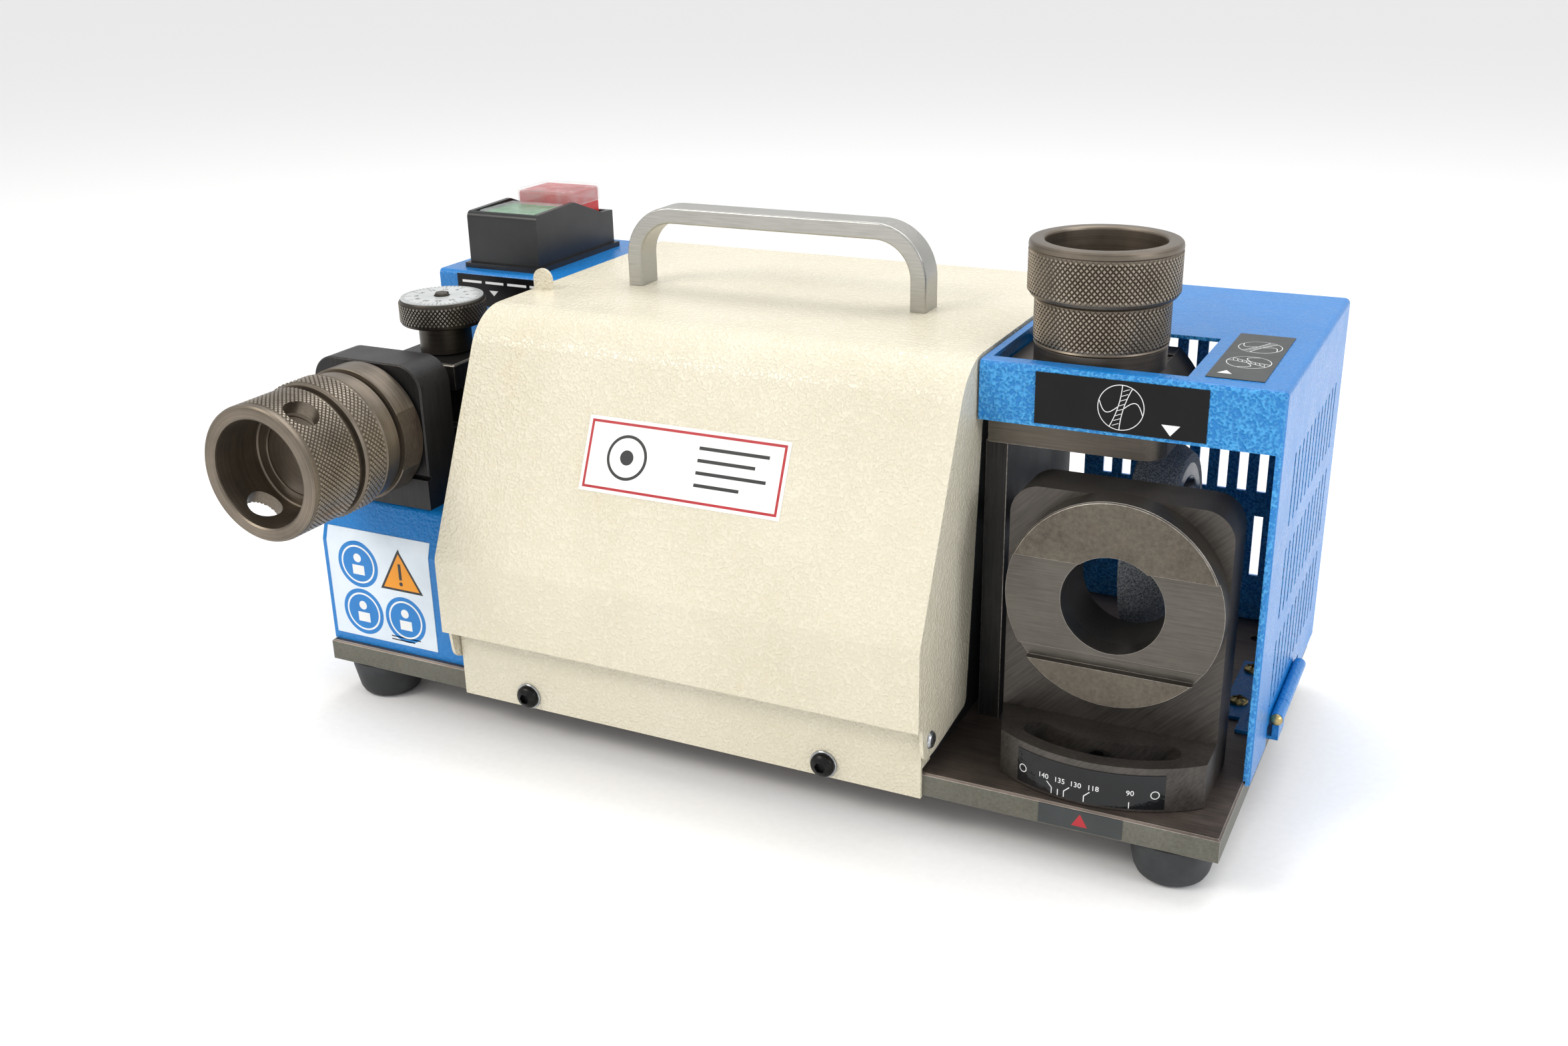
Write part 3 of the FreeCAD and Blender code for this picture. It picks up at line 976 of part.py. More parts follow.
lock_outline = [
    (0, 1), (s.lock_shank, 1), (s.lock_shank, s.slot_floor + s.swivel_lift),
    (s.lock_head, s.slot_floor + s.swivel_lift), (s.lock_head, s.lock_top - s.lock_chamfer),
    (s.lock_head - s.lock_chamfer, s.lock_top), (s.lock_head * 0.5, s.lock_top),
    (s.lock_head * 0.5, s.lock_top - s.lock_socket), (0, s.lock_top - s.lock_socket)]
keep("lock_screw", turned(lock_outline, (lock_x, lock_y, 0)))
seat_outline = [
    (s.seat_bore, 0), (s.seat_radius, 0), (s.seat_radius, s.seat_thick - s.seat_edge),
    (s.seat_radius - s.seat_edge, s.seat_thick), (s.seat_bore, s.seat_thick)]
seat = turned(seat_outline, (s.seat_axis, s.face_front, s.seat_height), "-y")
seat_front = s.face_front - s.seat_thick
seat_x = (s.seat_axis - s.seat_radius - 1, s.seat_axis + s.seat_radius + 1)
channel = block((seat_x[0], seat_front - 1, s.channel_low),
                (seat_x[1], seat_front + s.channel_deep, s.channel_top))
undercut = block((seat_x[0], seat_front - 1, s.undercut_low),
                 (seat_x[1], seat_front + s.undercut_deep, s.channel_low))
keep("seat_disc", cut(seat, channel, undercut))

# ---------------------------------------------------------------- labels
thin = s.label_thick


def lean_spot(height, outward):
    """A point on the cover's sloping front, or a little outside it."""
    length = math.hypot(slope_run.value, slope_rise.value)
    across, along = slope_rise.value / length, slope_run.value / length
    return (s.lip_front + (height - s.crease_height) * slope_run / slope_rise - outward * across,
            height + outward * along)


name_outline = [lean_spot(s.name_low, 0), lean_spot(s.name_high, 0), lean_spot(s.name_high, thin),
                lean_spot(s.name_low, thin)]
keep("name_label", extruded("YZ", name_outline, s.name_left, s.name_left + s.name_width))
keep("flange_label", block(
    (s.flange_label_left, s.hood_front - thin, s.flange_label_low),
    (s.flange_label_left + s.flange_label_width, s.hood_front, s.flange_label_low + s.flange_label_high)))
keep("hood_top_label", block(
    (s.top_label_left, s.top_label_front, s.hood_top),
    (s.top_label_left + s.top_label_width, s.top_label_front + s.top_label_deep, s.hood_top + thin)))
keep("web_label", block(
    (s.web_label_left, s.box_front - thin, s.web_label_low),
    (s.web_label_left + s.web_label_width, s.box_front, s.web_label_low + s.web_label_high)))
over_y = s.housing_front + s.safety_over * lean_run / lean_rise
safety_outline = [
    (s.housing_front - thin, s.safety_low), (s.housing_front, s.safety_low),
    (s.housing_front, s.housing_crease), (over_y, s.housing_crease + s.safety_over),
    (over_y - thin, s.housing_crease + s.safety_over), (s.housing_front - thin, s.housing_crease)]
keep("safety_label", extruded("YZ", safety_outline, s.safety_left, s.safety_left + s.safety_width))
keep("pointer_label", block(
    (s.pointer_left, -thin, s.pointer_edge),
    (s.pointer_left + s.pointer_width, 0, s.plate_thick - s.plate_edge - s.pointer_edge / 2)))
scale_turn = FreeCAD.Rotation(FreeCAD.Vector(0, 0, 1), -90 - SIZES["scale_left"])
scale_rings = []
for radius in (s.ledge_radius + thin, s.ledge_radius):
    sector = rod(radius, s.scale_high, (s.pivot_x, s.pivot_y, s.scale_low))
    bind(sector, "Angle", s.scale_left + s.scale_right)
    scale_rings.append(locate(sector, (s.pivot_x, s.pivot_y, s.scale_low), scale_turn))
keep("scale_label", cut(*scale_rings))

# ---------------------------------------------------------------- check and write
doc.recompute()
for thing in doc.Objects:
    if "Invalid" in thing.State or "Error" in thing.State:
        raise RuntimeError("%s (%s) failed: %s" % (thing.Name, thing.Label, thing.State))
os.makedirs("parts", exist_ok=True)
for label, thing in parts.items():
    shape = thing.Shape
    if shape.isNull() or not shape.isValid() or not shape.Solids:
        raise RuntimeError("%s has no valid solid" % label)
for label, thing in parts.items():
    thing.Shape.exportStep("parts/%s.step" % label)
print("%d sub-parts written" % len(parts))
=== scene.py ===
"""The drill bit sharpener's looks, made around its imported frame.

Sizes here are millimetres measured from the middle of the base plate's lower front edge: x runs to the
right, y towards the back and z up. Bench turns them into the frame's metres.
"""

import logging
import math
from dataclasses import dataclass
from enum import Enum
from typing import Any, Callable, ClassVar, Iterable, Optional, Sequence

import bmesh
import bpy
from mathutils import Matrix, Vector


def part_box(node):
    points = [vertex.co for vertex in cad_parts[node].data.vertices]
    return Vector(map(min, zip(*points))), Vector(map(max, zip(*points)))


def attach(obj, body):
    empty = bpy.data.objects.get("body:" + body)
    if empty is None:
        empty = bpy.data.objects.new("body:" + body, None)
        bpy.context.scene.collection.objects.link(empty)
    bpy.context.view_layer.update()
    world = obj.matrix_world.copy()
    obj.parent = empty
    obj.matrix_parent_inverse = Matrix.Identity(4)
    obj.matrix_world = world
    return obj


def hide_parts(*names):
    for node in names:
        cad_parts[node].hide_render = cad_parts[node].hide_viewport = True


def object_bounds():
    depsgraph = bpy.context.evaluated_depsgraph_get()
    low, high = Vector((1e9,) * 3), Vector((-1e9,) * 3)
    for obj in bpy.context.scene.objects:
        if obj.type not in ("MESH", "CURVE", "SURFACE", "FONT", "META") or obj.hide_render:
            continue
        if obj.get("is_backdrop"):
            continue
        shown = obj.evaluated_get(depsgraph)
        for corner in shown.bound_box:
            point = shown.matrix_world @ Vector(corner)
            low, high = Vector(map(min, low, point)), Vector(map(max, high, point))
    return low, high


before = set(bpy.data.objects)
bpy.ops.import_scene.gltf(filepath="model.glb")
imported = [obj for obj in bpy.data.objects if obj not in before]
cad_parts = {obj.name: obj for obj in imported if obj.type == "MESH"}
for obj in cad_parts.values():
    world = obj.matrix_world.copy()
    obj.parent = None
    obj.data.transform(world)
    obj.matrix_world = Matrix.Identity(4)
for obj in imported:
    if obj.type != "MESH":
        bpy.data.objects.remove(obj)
log = logging.getLogger("sharpener")

Point = tuple[float, float]
Place = tuple[float, float, float]
Colour = tuple[float, float, float, float]


def paint(code: str) -> Colour:
    """Turn a hex colour code into linear light.

    Args:
        code: Six hex digits, red first.

    Returns:
        The colour with full alpha.
    """
    parts = []
    for start in (0, 2, 4):
        share = int(code[start:start + 2], 16) / 255
        parts.append(share / 12.92 if share <= 0.04045 else ((share + 0.055) / 1.055) ** 2.4)
    return (parts[0], parts[1], parts[2], 1.0)


# ------------------------------------------------------------------ shader maths


class Wire:
    """A shader socket whose operators add Math nodes."""

    def __init__(self, recipe: "Recipe", socket: bpy.types.NodeSocket) -> None:
        """Keep the socket and the recipe that it belongs to."""
        self.recipe = recipe
        self.socket = socket

    def _with(self, operation: str, first: Any, second: Any) -> "Wire":
        """Join two values by one Math node."""
        node = self.recipe.node("ShaderNodeMath", {"operation": operation}, {0: first, 1: second})
        return Wire(self.recipe, node.outputs[0])

    def __add__(self, other: Any) -> "Wire":
        """Add a value."""
        return self._with("ADD", self, other)

    __radd__ = __add__

    def __mul__(self, other: Any) -> "Wire":
        """Multiply by a value."""
        return self._with("MULTIPLY", self, other)

    __rmul__ = __mul__

    def __sub__(self, other: Any) -> "Wire":
        """Subtract a value."""
        return self._with("SUBTRACT", self, other)

    def __rsub__(self, other: Any) -> "Wire":
        """Subtract this from a value."""
        return self._with("SUBTRACT", other, self)


class Recipe:
    """The node tree of one finish."""

    def __init__(self, name: str) -> None:
        """Start an empty material.

        Args:
            name: The material's name.
        """
        self.material = bpy.data.materials.new(name)
        self.material.use_nodes = True
        self.tree = self.material.node_tree
        self.tree.nodes.clear()

    def node(self, kind: str, settings: Optional[dict[str, Any]] = None,
             inputs: Optional[dict[Any, Any]] = None) -> bpy.types.Node:
        """Add a node, set it up and feed it.

        Args:
            kind: The node's type.
            settings: Its properties, with a ramp's stops under "stops".
            inputs: Values or wires by socket name or place.

        Returns:
            The new node.
        """
        node = self.tree.nodes.new(kind)
        for key, value in (settings or {}).items():
            if key == "stops":
                ramp = node.color_ramp
                while len(ramp.elements) < len(value):
                    ramp.elements.new(0.5)
                for element, (place, colour) in zip(ramp.elements, value):
                    element.position = place
                    element.color = colour
            else:
                setattr(node, key, value)
        for key, value in (inputs or {}).items():
            if isinstance(value, Wire):
                self.tree.links.new(value.socket, node.inputs[key])
            else:
                node.inputs[key].default_value = value
        return node

    def spot(self, centre: Place = (0, 0, 0), turn: Place = (0, 0, 0), stretch: Place = (1, 1, 1)) -> Wire:
        """Give the place on the piece, moved, then turned, then stretched.

        Args:
            centre: The point that becomes the origin, in metres.
            turn: Turns about x, y and z in radians.
            stretch: How much finer the pattern is along each axis.

        Returns:
            A vector wire.
        """
        where = Wire(self, self.node("ShaderNodeTexCoord").outputs["Object"])
        moved = self.node("ShaderNodeMapping", {}, {"Vector": where, "Location": [-part for part in centre]})
        centred = Wire(self, moved.outputs[0])
        turned = self.node("ShaderNodeMapping", {}, {"Vector": centred, "Rotation": turn})
        scaled = self.node("ShaderNodeMapping", {}, {"Vector": Wire(self, turned.outputs[0]),
                                                     "Scale": stretch})
        return Wire(self, scaled.outputs[0])

    def rings(self, centre: Place, axis: str, along: float, outward: float) -> Wire:
        """Give a vector that is the same all round an axis, for lathe marks.

        Args:
            centre: A point on the axis, in metres.
            axis: The axis's letter.
            along: Fineness along the axis.
            outward: Fineness away from the axis.

        Returns:
            A vector wire of distance along and distance from the axis.
        """
        spot = self.spot(centre)
        parts = self.node("ShaderNodeSeparateXYZ", {}, {0: spot}).outputs
        flat = self.node("ShaderNodeVectorMath", {"operation": "MULTIPLY"},
                         {0: spot, 1: [0.0 if letter == axis else 1.0 for letter in "xyz"]})
        reach = self.node("ShaderNodeVectorMath", {"operation": "LENGTH"}, {0: Wire(self, flat.outputs[0])})
        length = Wire(self, parts["xyz".index(axis)]) * along
        radius = Wire(self, reach.outputs["Value"]) * outward
        joined = self.node("ShaderNodeCombineXYZ", {}, {0: length, 1: radius})
        return Wire(self, joined.outputs[0])

    def noise(self, where: Wire, scale: float, detail: float = 2.0, rough: float = 0.5) -> Wire:
        """Give noise from 0 to 1 at a place.

        Args:
            where: The place.
            scale: How many waves there are to a metre.
            detail: How many finer layers are added.
            rough: How strong the finer layers are.

        Returns:
            The noise.
        """
        node = self.node("ShaderNodeTexNoise", {}, {"Vector": where, "Scale": scale, "Detail": detail,
                                                    "Roughness": rough})
        return Wire(self, node.outputs[0])

    def cells(self, where: Wire, scale: float) -> Wire:
        """Give the distance to the nearest of scattered points."""
        node = self.node("ShaderNodeTexVoronoi", {}, {"Vector": where, "Scale": scale})
        return Wire(self, node.outputs[0])

    def between(self, value: Wire, low: float, high: float) -> Wire:
        """Stretch a value so that low becomes 0 and high becomes 1, and clip it."""
        node = self.node("ShaderNodeMapRange", {}, {"Value": value, "From Min": low, "From Max": high})
        return Wire(self, node.outputs[0])

    def blend(self, share: Any, first: Any, second: Any) -> Wire:
        """Mix two colours by a share."""
        node = self.node("ShaderNodeMix", {"data_type": "RGBA"}, {0: share, 6: first, 7: second})
        return Wire(self, node.outputs[2])

    def bump(self, height: Wire, depth: float, under: Optional[Wire] = None) -> Wire:
        """Turn a height into a normal.

        Args:
            height: The height from 0 to 1.
            depth: Millimetres between 0 and 1.
            under: A normal that this one adds to.

        Returns:
            The normal.
        """
        inputs: dict[Any, Any] = {"Height": height, "Distance": depth / 1000, "Strength": 1.0}
        if under:
            inputs["Normal"] = under
        return Wire(self, self.node("ShaderNodeBump", {}, inputs).outputs[0])

    def finish(self, inputs: dict[str, Any]) -> bpy.types.Material:
        """End the recipe with its shader.

        Args:
            inputs: The Principled shader's values or wires.

        Returns:
            The finished material.
        """
        shader = self.node("ShaderNodeBsdfPrincipled", {}, inputs)
        self.node("ShaderNodeOutputMaterial", {}, {"Surface": Wire(self, shader.outputs[0])})
        return self.material


# ------------------------------------------------------------------ finishes


@dataclass(frozen=True)
class Finish:
    """A surface finish, mixed once and kept by its name."""

    name: str
    shelf: ClassVar[dict[str, bpy.types.Material]] = {}

    def mix(self, recipe: Recipe) -> bpy.types.Material:
        """Mix the finish."""
        raise NotImplementedError

    def material(self) -> bpy.types.Material:
        """Give the material, mixing it the first time.

        Returns:
            The material.
        """
        if self.name not in self.shelf:
            self.shelf[self.name] = self.mix(Recipe(self.name))
        return self.shelf[self.name]


@dataclass(frozen=True)
class PowderCoat(Finish):
    """Baked powder paint with an orange-peel skin, its raised cells tinted paler as a painted highlight."""

    colour: str = "ffffff"
    shade: str = "dddddd"
    # Painted highlight: a paler tint for the raised cells of the orange peel.
    peel_highlight: str = "ffffff"
    cell: float = 1.6
    depth: float = 0.06
    # How strongly the painted highlight shows on the raised cells.
    peel_highlight_share: float = 0.0
    roughness: float = 0.3
    stain: str = "c9a85e"
    stains: float = 0.25

    def mix(self, recipe: Recipe) -> bpy.types.Material:
        """Mix the powder paint.

        Args:
            recipe: The empty node tree.

        Returns:
            The material.
        """
        spot = recipe.spot()
        warp = recipe.noise(spot, 380 / self.cell, 1.0)
        peel = recipe.noise(spot, 1000 / self.cell, 2.0, 0.45)
        skin = recipe.between(peel + warp * 0.35, 0.56, 0.8)
        clouds = recipe.noise(spot, 14, 3.0, 0.6)
        colour = recipe.blend(recipe.between(clouds, 0.35, 0.75), paint(self.colour), paint(self.shade))
        # Painted highlight: the raised peel cells are tinted paler, as if they caught the light.
        colour = recipe.blend(skin * self.peel_highlight_share, colour, paint(self.peel_highlight))
        grime = recipe.between(recipe.noise(spot, 26, 5.0, 0.7), 0.62, 0.8)
        colour = recipe.blend(grime * self.stains, colour, paint(self.stain))
        specks = recipe.between(recipe.noise(spot, 900, 1.0), 0.76, 0.8)
        colour = recipe.blend(specks * 0.25, colour, paint("6b5a3c"))
        gloss = recipe.noise(spot, 60, 3.0) * 0.16 + (self.roughness - 0.08)
        return recipe.finish({"Base Color": colour, "Roughness": gloss, "IOR": 1.5,
                              "Normal": recipe.bump(skin, self.depth)})


@dataclass(frozen=True)
class Wrinkle(Finish):
    """Dark wrinkle paint with fine, sharp grains."""

    colour: str = "17181a"
    grain: float = 0.5
    roughness: float = 0.55

    def mix(self, recipe: Recipe) -> bpy.types.Material:
        """Mix the wrinkle paint.

        Args:
            recipe: The empty node tree.

        Returns:
            The material.
        """
        spot = recipe.spot()
        grains = recipe.between(recipe.noise(spot, 1000 / self.grain, 2.0, 0.6), 0.35, 0.7)
        colour = recipe.blend(grains, paint(self.colour), paint("3a3b3d"))
        dust = recipe.between(recipe.noise(spot, 30, 4.0, 0.65), 0.55, 0.85)
        colour = recipe.blend(dust * 0.35, colour, paint("5b554c"))
        return recipe.finish({"Base Color": colour, "Roughness": self.roughness,
                              "Normal": recipe.bump(grains, 0.05)})


class Grain(Enum):
    """The way that a tool has marked a metal face: the turn and the stretch of its grain."""

    ALONG_X = ((0.0, 0.0, 0.0), (0.04, 1.0, 1.0))
    UPRIGHT = ((0.0, 0.0, 0.0), (1.0, 1.0, 0.05))
    SLANTED = ((0.0, math.radians(45), 0.0), (0.05, 1.0, 1.0))
    NONE = ((0.0, 0.0, 0.0), (1.0, 1.0, 1.0))


@dataclass(frozen=True)
class Machined(Finish):
    """Bare, blacked or plated metal with the marks of the tool that cut it."""

    dark: str = "3a3733"
    light: str = "5a554e"
    grain: Grain = Grain.NONE
    lathe: Optional[tuple[str, Place]] = None
    pitch: float = 0.35
    depth: float = 0.008
    metallic: float = 0.85
    roughness: float = 0.42
    spots: str = "8a6a4a"
    spotting: float = 0.12
    clouding: float = 1.0

    def mix(self, recipe: Recipe) -> bpy.types.Material:
        """Mix the metal.

        Args:
            recipe: The empty node tree.

        Returns:
            The material.
        """
        spot = recipe.spot()
        if self.lathe:
            axis, centre = self.lathe
            where = recipe.rings(centre, axis, 1.0, 1.0)
        else:
            turn, stretch = self.grain.value
            where = recipe.spot(turn=turn, stretch=stretch)
        marks = recipe.noise(where, 1000 / self.pitch, 3.0, 0.65)
        clouds = recipe.noise(spot, 45, 4.0, 0.62)
        share = recipe.between(marks * 0.55 + clouds * (0.45 * self.clouding), 0.3, 0.68)
        colour = recipe.blend(share, paint(self.dark), paint(self.light))
        rust = recipe.between(recipe.noise(spot, 120, 5.0, 0.75), 0.6, 0.78)
        colour = recipe.blend(rust * self.spotting, colour, paint(self.spots))
        smear = marks * 0.18 + recipe.noise(spot, 90, 3.0) * 0.16 + (self.roughness - 0.17)
        pits = recipe.noise(spot, 2200, 1.0)
        normal = recipe.bump(pits, self.depth * 0.5, recipe.bump(marks, self.depth))
        return recipe.finish({"Base Color": colour, "Roughness": smear, "Metallic": self.metallic,
                              "Normal": normal})


@dataclass(frozen=True)
class Moulded(Finish):
    """Plastic or rubber from a mould."""

    colour: str = "141414"
    bloom: str = "2a2a2a"
    grain: float = 0.4
    depth: float = 0.01
    roughness: float = 0.4
    clear: float = 0.0
    glow: float = 0.0

    def mix(self, recipe: Recipe) -> bpy.types.Material:
        """Mix the plastic.

        Args:
            recipe: The empty node tree.

        Returns:
            The material.
        """
        spot = recipe.spot()
        clouds = recipe.between(recipe.noise(spot, 50, 4.0, 0.6), 0.4, 0.75)
        colour = recipe.blend(clouds, paint(self.colour), paint(self.bloom))
        pebbles = recipe.noise(spot, 1000 / self.grain, 2.0)
        gloss = recipe.noise(spot, 120, 3.0) * 0.14 + (self.roughness - 0.07)
        inputs: dict[str, Any] = {"Base Color": colour, "Roughness": gloss, "IOR": 1.5,
                                  "Normal": recipe.bump(pebbles, self.depth),
                                  "Transmission Weight": self.clear}
        # Painted glow: the plastic gives off a faint light in its own colour.
        if self.glow:
            inputs["Emission Strength"] = self.glow
            inputs["Emission Color"] = colour
        return recipe.finish(inputs)


@dataclass(frozen=True)
class ClearCap(Finish):
    """Clear flexible plastic over the push buttons."""

    alpha: float = 0.24

    def mix(self, recipe: Recipe) -> bpy.types.Material:
        """Mix the clear plastic.

        Args:
            recipe: The empty node tree.

        Returns:
            The material.
        """
        spot = recipe.spot()
        haze = recipe.between(recipe.noise(spot, 160, 3.0), 0.4, 0.7)
        return recipe.finish({"Base Color": paint("eef2f2"), "Roughness": haze * 0.12 + 0.06,
                              "Alpha": haze * 0.1 + (self.alpha - 0.05), "Coat Weight": 0.6,
                              "Normal": recipe.bump(haze, 0.05)})


@dataclass(frozen=True)
class Film(Finish):
    """A printed plastic film, slightly wrinkled where it was rubbed down."""

    colour: str = "101012"
    bloom: str = "1b1c20"
    crease: float = 0.02
    size: float = 4.0
    roughness: float = 0.22
    sheen: float = 0.5

    def mix(self, recipe: Recipe) -> bpy.types.Material:
        """Mix the film.

        Args:
            recipe: The empty node tree.

        Returns:
            The material.
        """
        spot = recipe.spot()
        folds = recipe.noise(spot, 1000 / self.size, 3.0, 0.55)
        clouds = recipe.between(recipe.noise(spot, 60, 4.0, 0.6), 0.35, 0.75)
        colour = recipe.blend(clouds, paint(self.colour), paint(self.bloom))
        gloss = recipe.noise(spot, 140, 3.0) * 0.16 + (self.roughness - 0.06)
        return recipe.finish({"Base Color": colour, "Roughness": gloss, "Specular IOR Level": self.sheen,
                              "Normal": recipe.bump(folds, self.crease)})


@dataclass(frozen=True)
class Grit(Finish):
    """The wheel's bonded grit."""

    colour: str = "6d7378"
    sparkle: str = "c9ccd0"

    def mix(self, recipe: Recipe) -> bpy.types.Material:
        """Mix the grit.

        Args:
            recipe: The empty node tree.

        Returns:
            The material.
        """
        spot = recipe.spot()
        grains = recipe.cells(spot, 2600)
        lumps = recipe.between(recipe.noise(spot, 1600, 2.0), 0.4, 0.65)
        colour = recipe.blend(lumps, paint(self.colour), paint(self.sparkle))
        return recipe.finish({"Base Color": colour, "Metallic": 0.3, "Roughness": lumps * 0.3 + 0.55,
                              "Normal": recipe.bump(grains, 0.12)})


@dataclass(frozen=True)
class FloorPaper(Finish):
    """The pale paper that the machine stands on."""

    def mix(self, recipe: Recipe) -> bpy.types.Material:
        """Mix the paper.

        Args:
            recipe: The empty node tree.

        Returns:
            The material.
        """
        tooth = recipe.noise(recipe.spot(), 300, 2.0)
        colour = recipe.blend(tooth, paint("fbfbfb"), paint("f4f4f4"))
        return recipe.finish({"Base Color": colour, "Roughness": 0.85, "Specular IOR Level": 0.2})


DIAL_AXIS = (-180.0, 70.0)
SETTING_AXIS = (-180.0, 117.5)
PORT_AXIS = (133.3, 81.7)
SEAT_AXIS = (158.0, 84.4)
PIVOT = (156.5, 68.0)
WHEEL_AXIS = (108.0, 84.4)

# In each coat the third colour is a painted highlight on the raised peel cells, and the third number is how
# strongly it shows.
CREAM = PowderCoat("cream powder coat", "dcd5c0", "d2cab2", "f4efe0", 1.3, 0.26, 0.16, 0.25)
BLUE = PowderCoat("blue powder coat", "0078c4", "0072bb", "52b4ee", 1.2, 0.4, 0.6, 0.24, "0b4f8f", 0.2)
BLUE_SMOOTH = PowderCoat("blue powder coat, smooth", "0076c2", "006fb8", "2c9ce0", 1.4, 0.12, 0.1, 0.28,
                         "0b4f8f", 0.2)
BLACK_WRINKLE = Wrinkle("black wrinkle paint")
PLATE = Machined("brushed ground plate", "4a433e", "7a6e66", Grain.ALONG_X, None, 0.6, 0.014, 0.7, 0.4,
                 "8a5a48", 0.35)
PLATE_SIDE = Machined("plate edge", "57564c", "74736a", Grain.NONE, None, 1.2, 0.01, 0.55, 0.5,
                      "8d6a48", 0.45)
# Partly wear and partly painted highlight: bevels are painted pale, for metal rubbed bare and for the light
# that edges catch.
WORN_EDGE_AND_HIGHLIGHT = Machined("worn edge and painted edge highlight", "857d76", "dad3ca", Grain.NONE, None, 1.6, 0.02, 0.8, 0.34,
                       "7a5a48", 0.3)
# Rubbed wear on the edges of blacked parts; on the dial's knurl it is a painted highlight on the diamond
# tops.
EDGE_WEAR_AND_KNURL_HIGHLIGHT = Machined("black edge wear and painted knurl highlight", "504c48", "a7a199", Grain.NONE, None, 1.2, 0.01, 0.85, 0.34,
                       "6a5a4c", 0.1)
BLACK_STEEL = Machined("blacked steel", "232223", "3b3a3a", Grain.UPRIGHT, None, 0.8, 0.01, 0.7, 0.42,
                       "4a4640", 0.3)
BRACKET_STEEL = Machined("milled port bracket", "3a3735", "5f5a55", Grain.SLANTED, None, 0.9,
                         0.014, 0.7, 0.42,
                         "5a5048", 0.2)
PORT_STEEL = Machined("milled port block", "4d4842", "6c655c", Grain.ALONG_X, None, 0.8, 0.01, 0.8, 0.42,
                      "5c5248", 0.2)
WHEEL_METAL = "turned wheel aluminium"
ALUMINIUM = Machined("satin aluminium", "a7a6a1", "c9c8c3", Grain.ALONG_X, None, 0.6, 0.005, 0.95, 0.34,
                     "9a9890", 0.05, 0.5)
ZINC = Machined("zinc plate", "8f9296", "c5c8cb", Grain.NONE, None, 2.0, 0.008, 0.95, 0.27, "9c9a90", 0.15)
SCREW_BLACK = Machined("blacked screw", "141414", "262626", Grain.NONE, None, 1.2, 0.01, 0.75, 0.34,
                       "3a342c", 0.2)
YELLOW_ZINC = Machined("yellow passivated zinc", "9a8452", "cdb983", Grain.NONE, None, 2.5, 0.01, 0.95, 0.3,
                       "b77c8a", 0.3)
BRIGHT_STEEL = Machined("bright steel", "8d8d8d", "c2c2c2", Grain.ALONG_X, None, 0.5, 0.005, 0.97, 0.24)
MOTOR_GREY = Wrinkle("motor grey paint", "3c4045", 0.8, 0.5)
SEAT_FLAT = Machined("seat steel, milled", "4c4843", "6a665f", Grain.ALONG_X, None, 0.6, 0.01, 0.75, 0.4)
SEAT_RUSTY = Machined("seat steel, rubbed", "4a453e", "6e675c", Grain.NONE, None, 1.6, 0.014, 0.75, 0.4,
                      "6f5f4c", 0.5)
# Painted highlight: the knurl's diamond tops are tinted paler than its sides, as if lit.
PAINTED_KNURL_HIGHLIGHT = Machined("painted highlight on knurl tops", "6f675c", "b3aa9c", Grain.NONE, None, 1.0, 0.008, 0.9, 0.3,
                     "5c5044", 0.1)
RUBBER = Moulded("foot rubber", "26282a", "3b3e40", 0.5, 0.03, 0.6)
SWITCH_BLACK = Moulded("switch body", "0f1012", "1c1d20", 0.35, 0.02, 0.36)
# The last number of each button is its painted glow.
GREEN_BUTTON = Moulded("green push button", "12803c", "1c9a50", 1.5, 0.01, 0.25, 0.25, 0.08)
RED_BUTTON = Moulded("red push button", "c1121c", "d8262c", 1.5, 0.01, 0.25, 0.25, 0.08)
CAP = ClearCap("clear cap")
WHITE_FILM = Film("white label film", "f2f2f0", "e9e9e6", 0.01, 6.0, 0.3)
PALE_FILM = Film("pale blue label film", "dfe9f2", "d2dde8", 0.02, 8.0, 0.3)
BLACK_FILM = Film("black label film", "050506", "0c0c0f", 0.01, 8.0, 0.3, 0.22)
SCALE_FILM = Film("creased scale film", "060709", "12161a", 0.4, 4.5, 0.14, 0.4)
GREY_FILM = Film("dark grey label film", "2b2f30", "353a3a", 0.01, 8.0, 0.4)
DIAL_FILM = Film("silvered dial film", "bfc2c2", "a8adad", 0.03, 3.0, 0.24)
WHITE_INK = Film("white print", "eceeee", "e2e4e4", 0.0, 8.0, 0.35)
RED_INK = Film("red print", "b3202b", "a81b26", 0.0, 8.0, 0.35)
SIGN_BLUE = Film("sign blue print", "0a7cc8", "0872bc", 0.0, 8.0, 0.35)
AMBER_INK = Film("amber print", "f09a0c", "e49008", 0.0, 8.0, 0.35)
DARK_INK = Film("dark print", "1c1e20", "242628", 0.0, 8.0, 0.35)


# ------------------------------------------------------------------ workbench


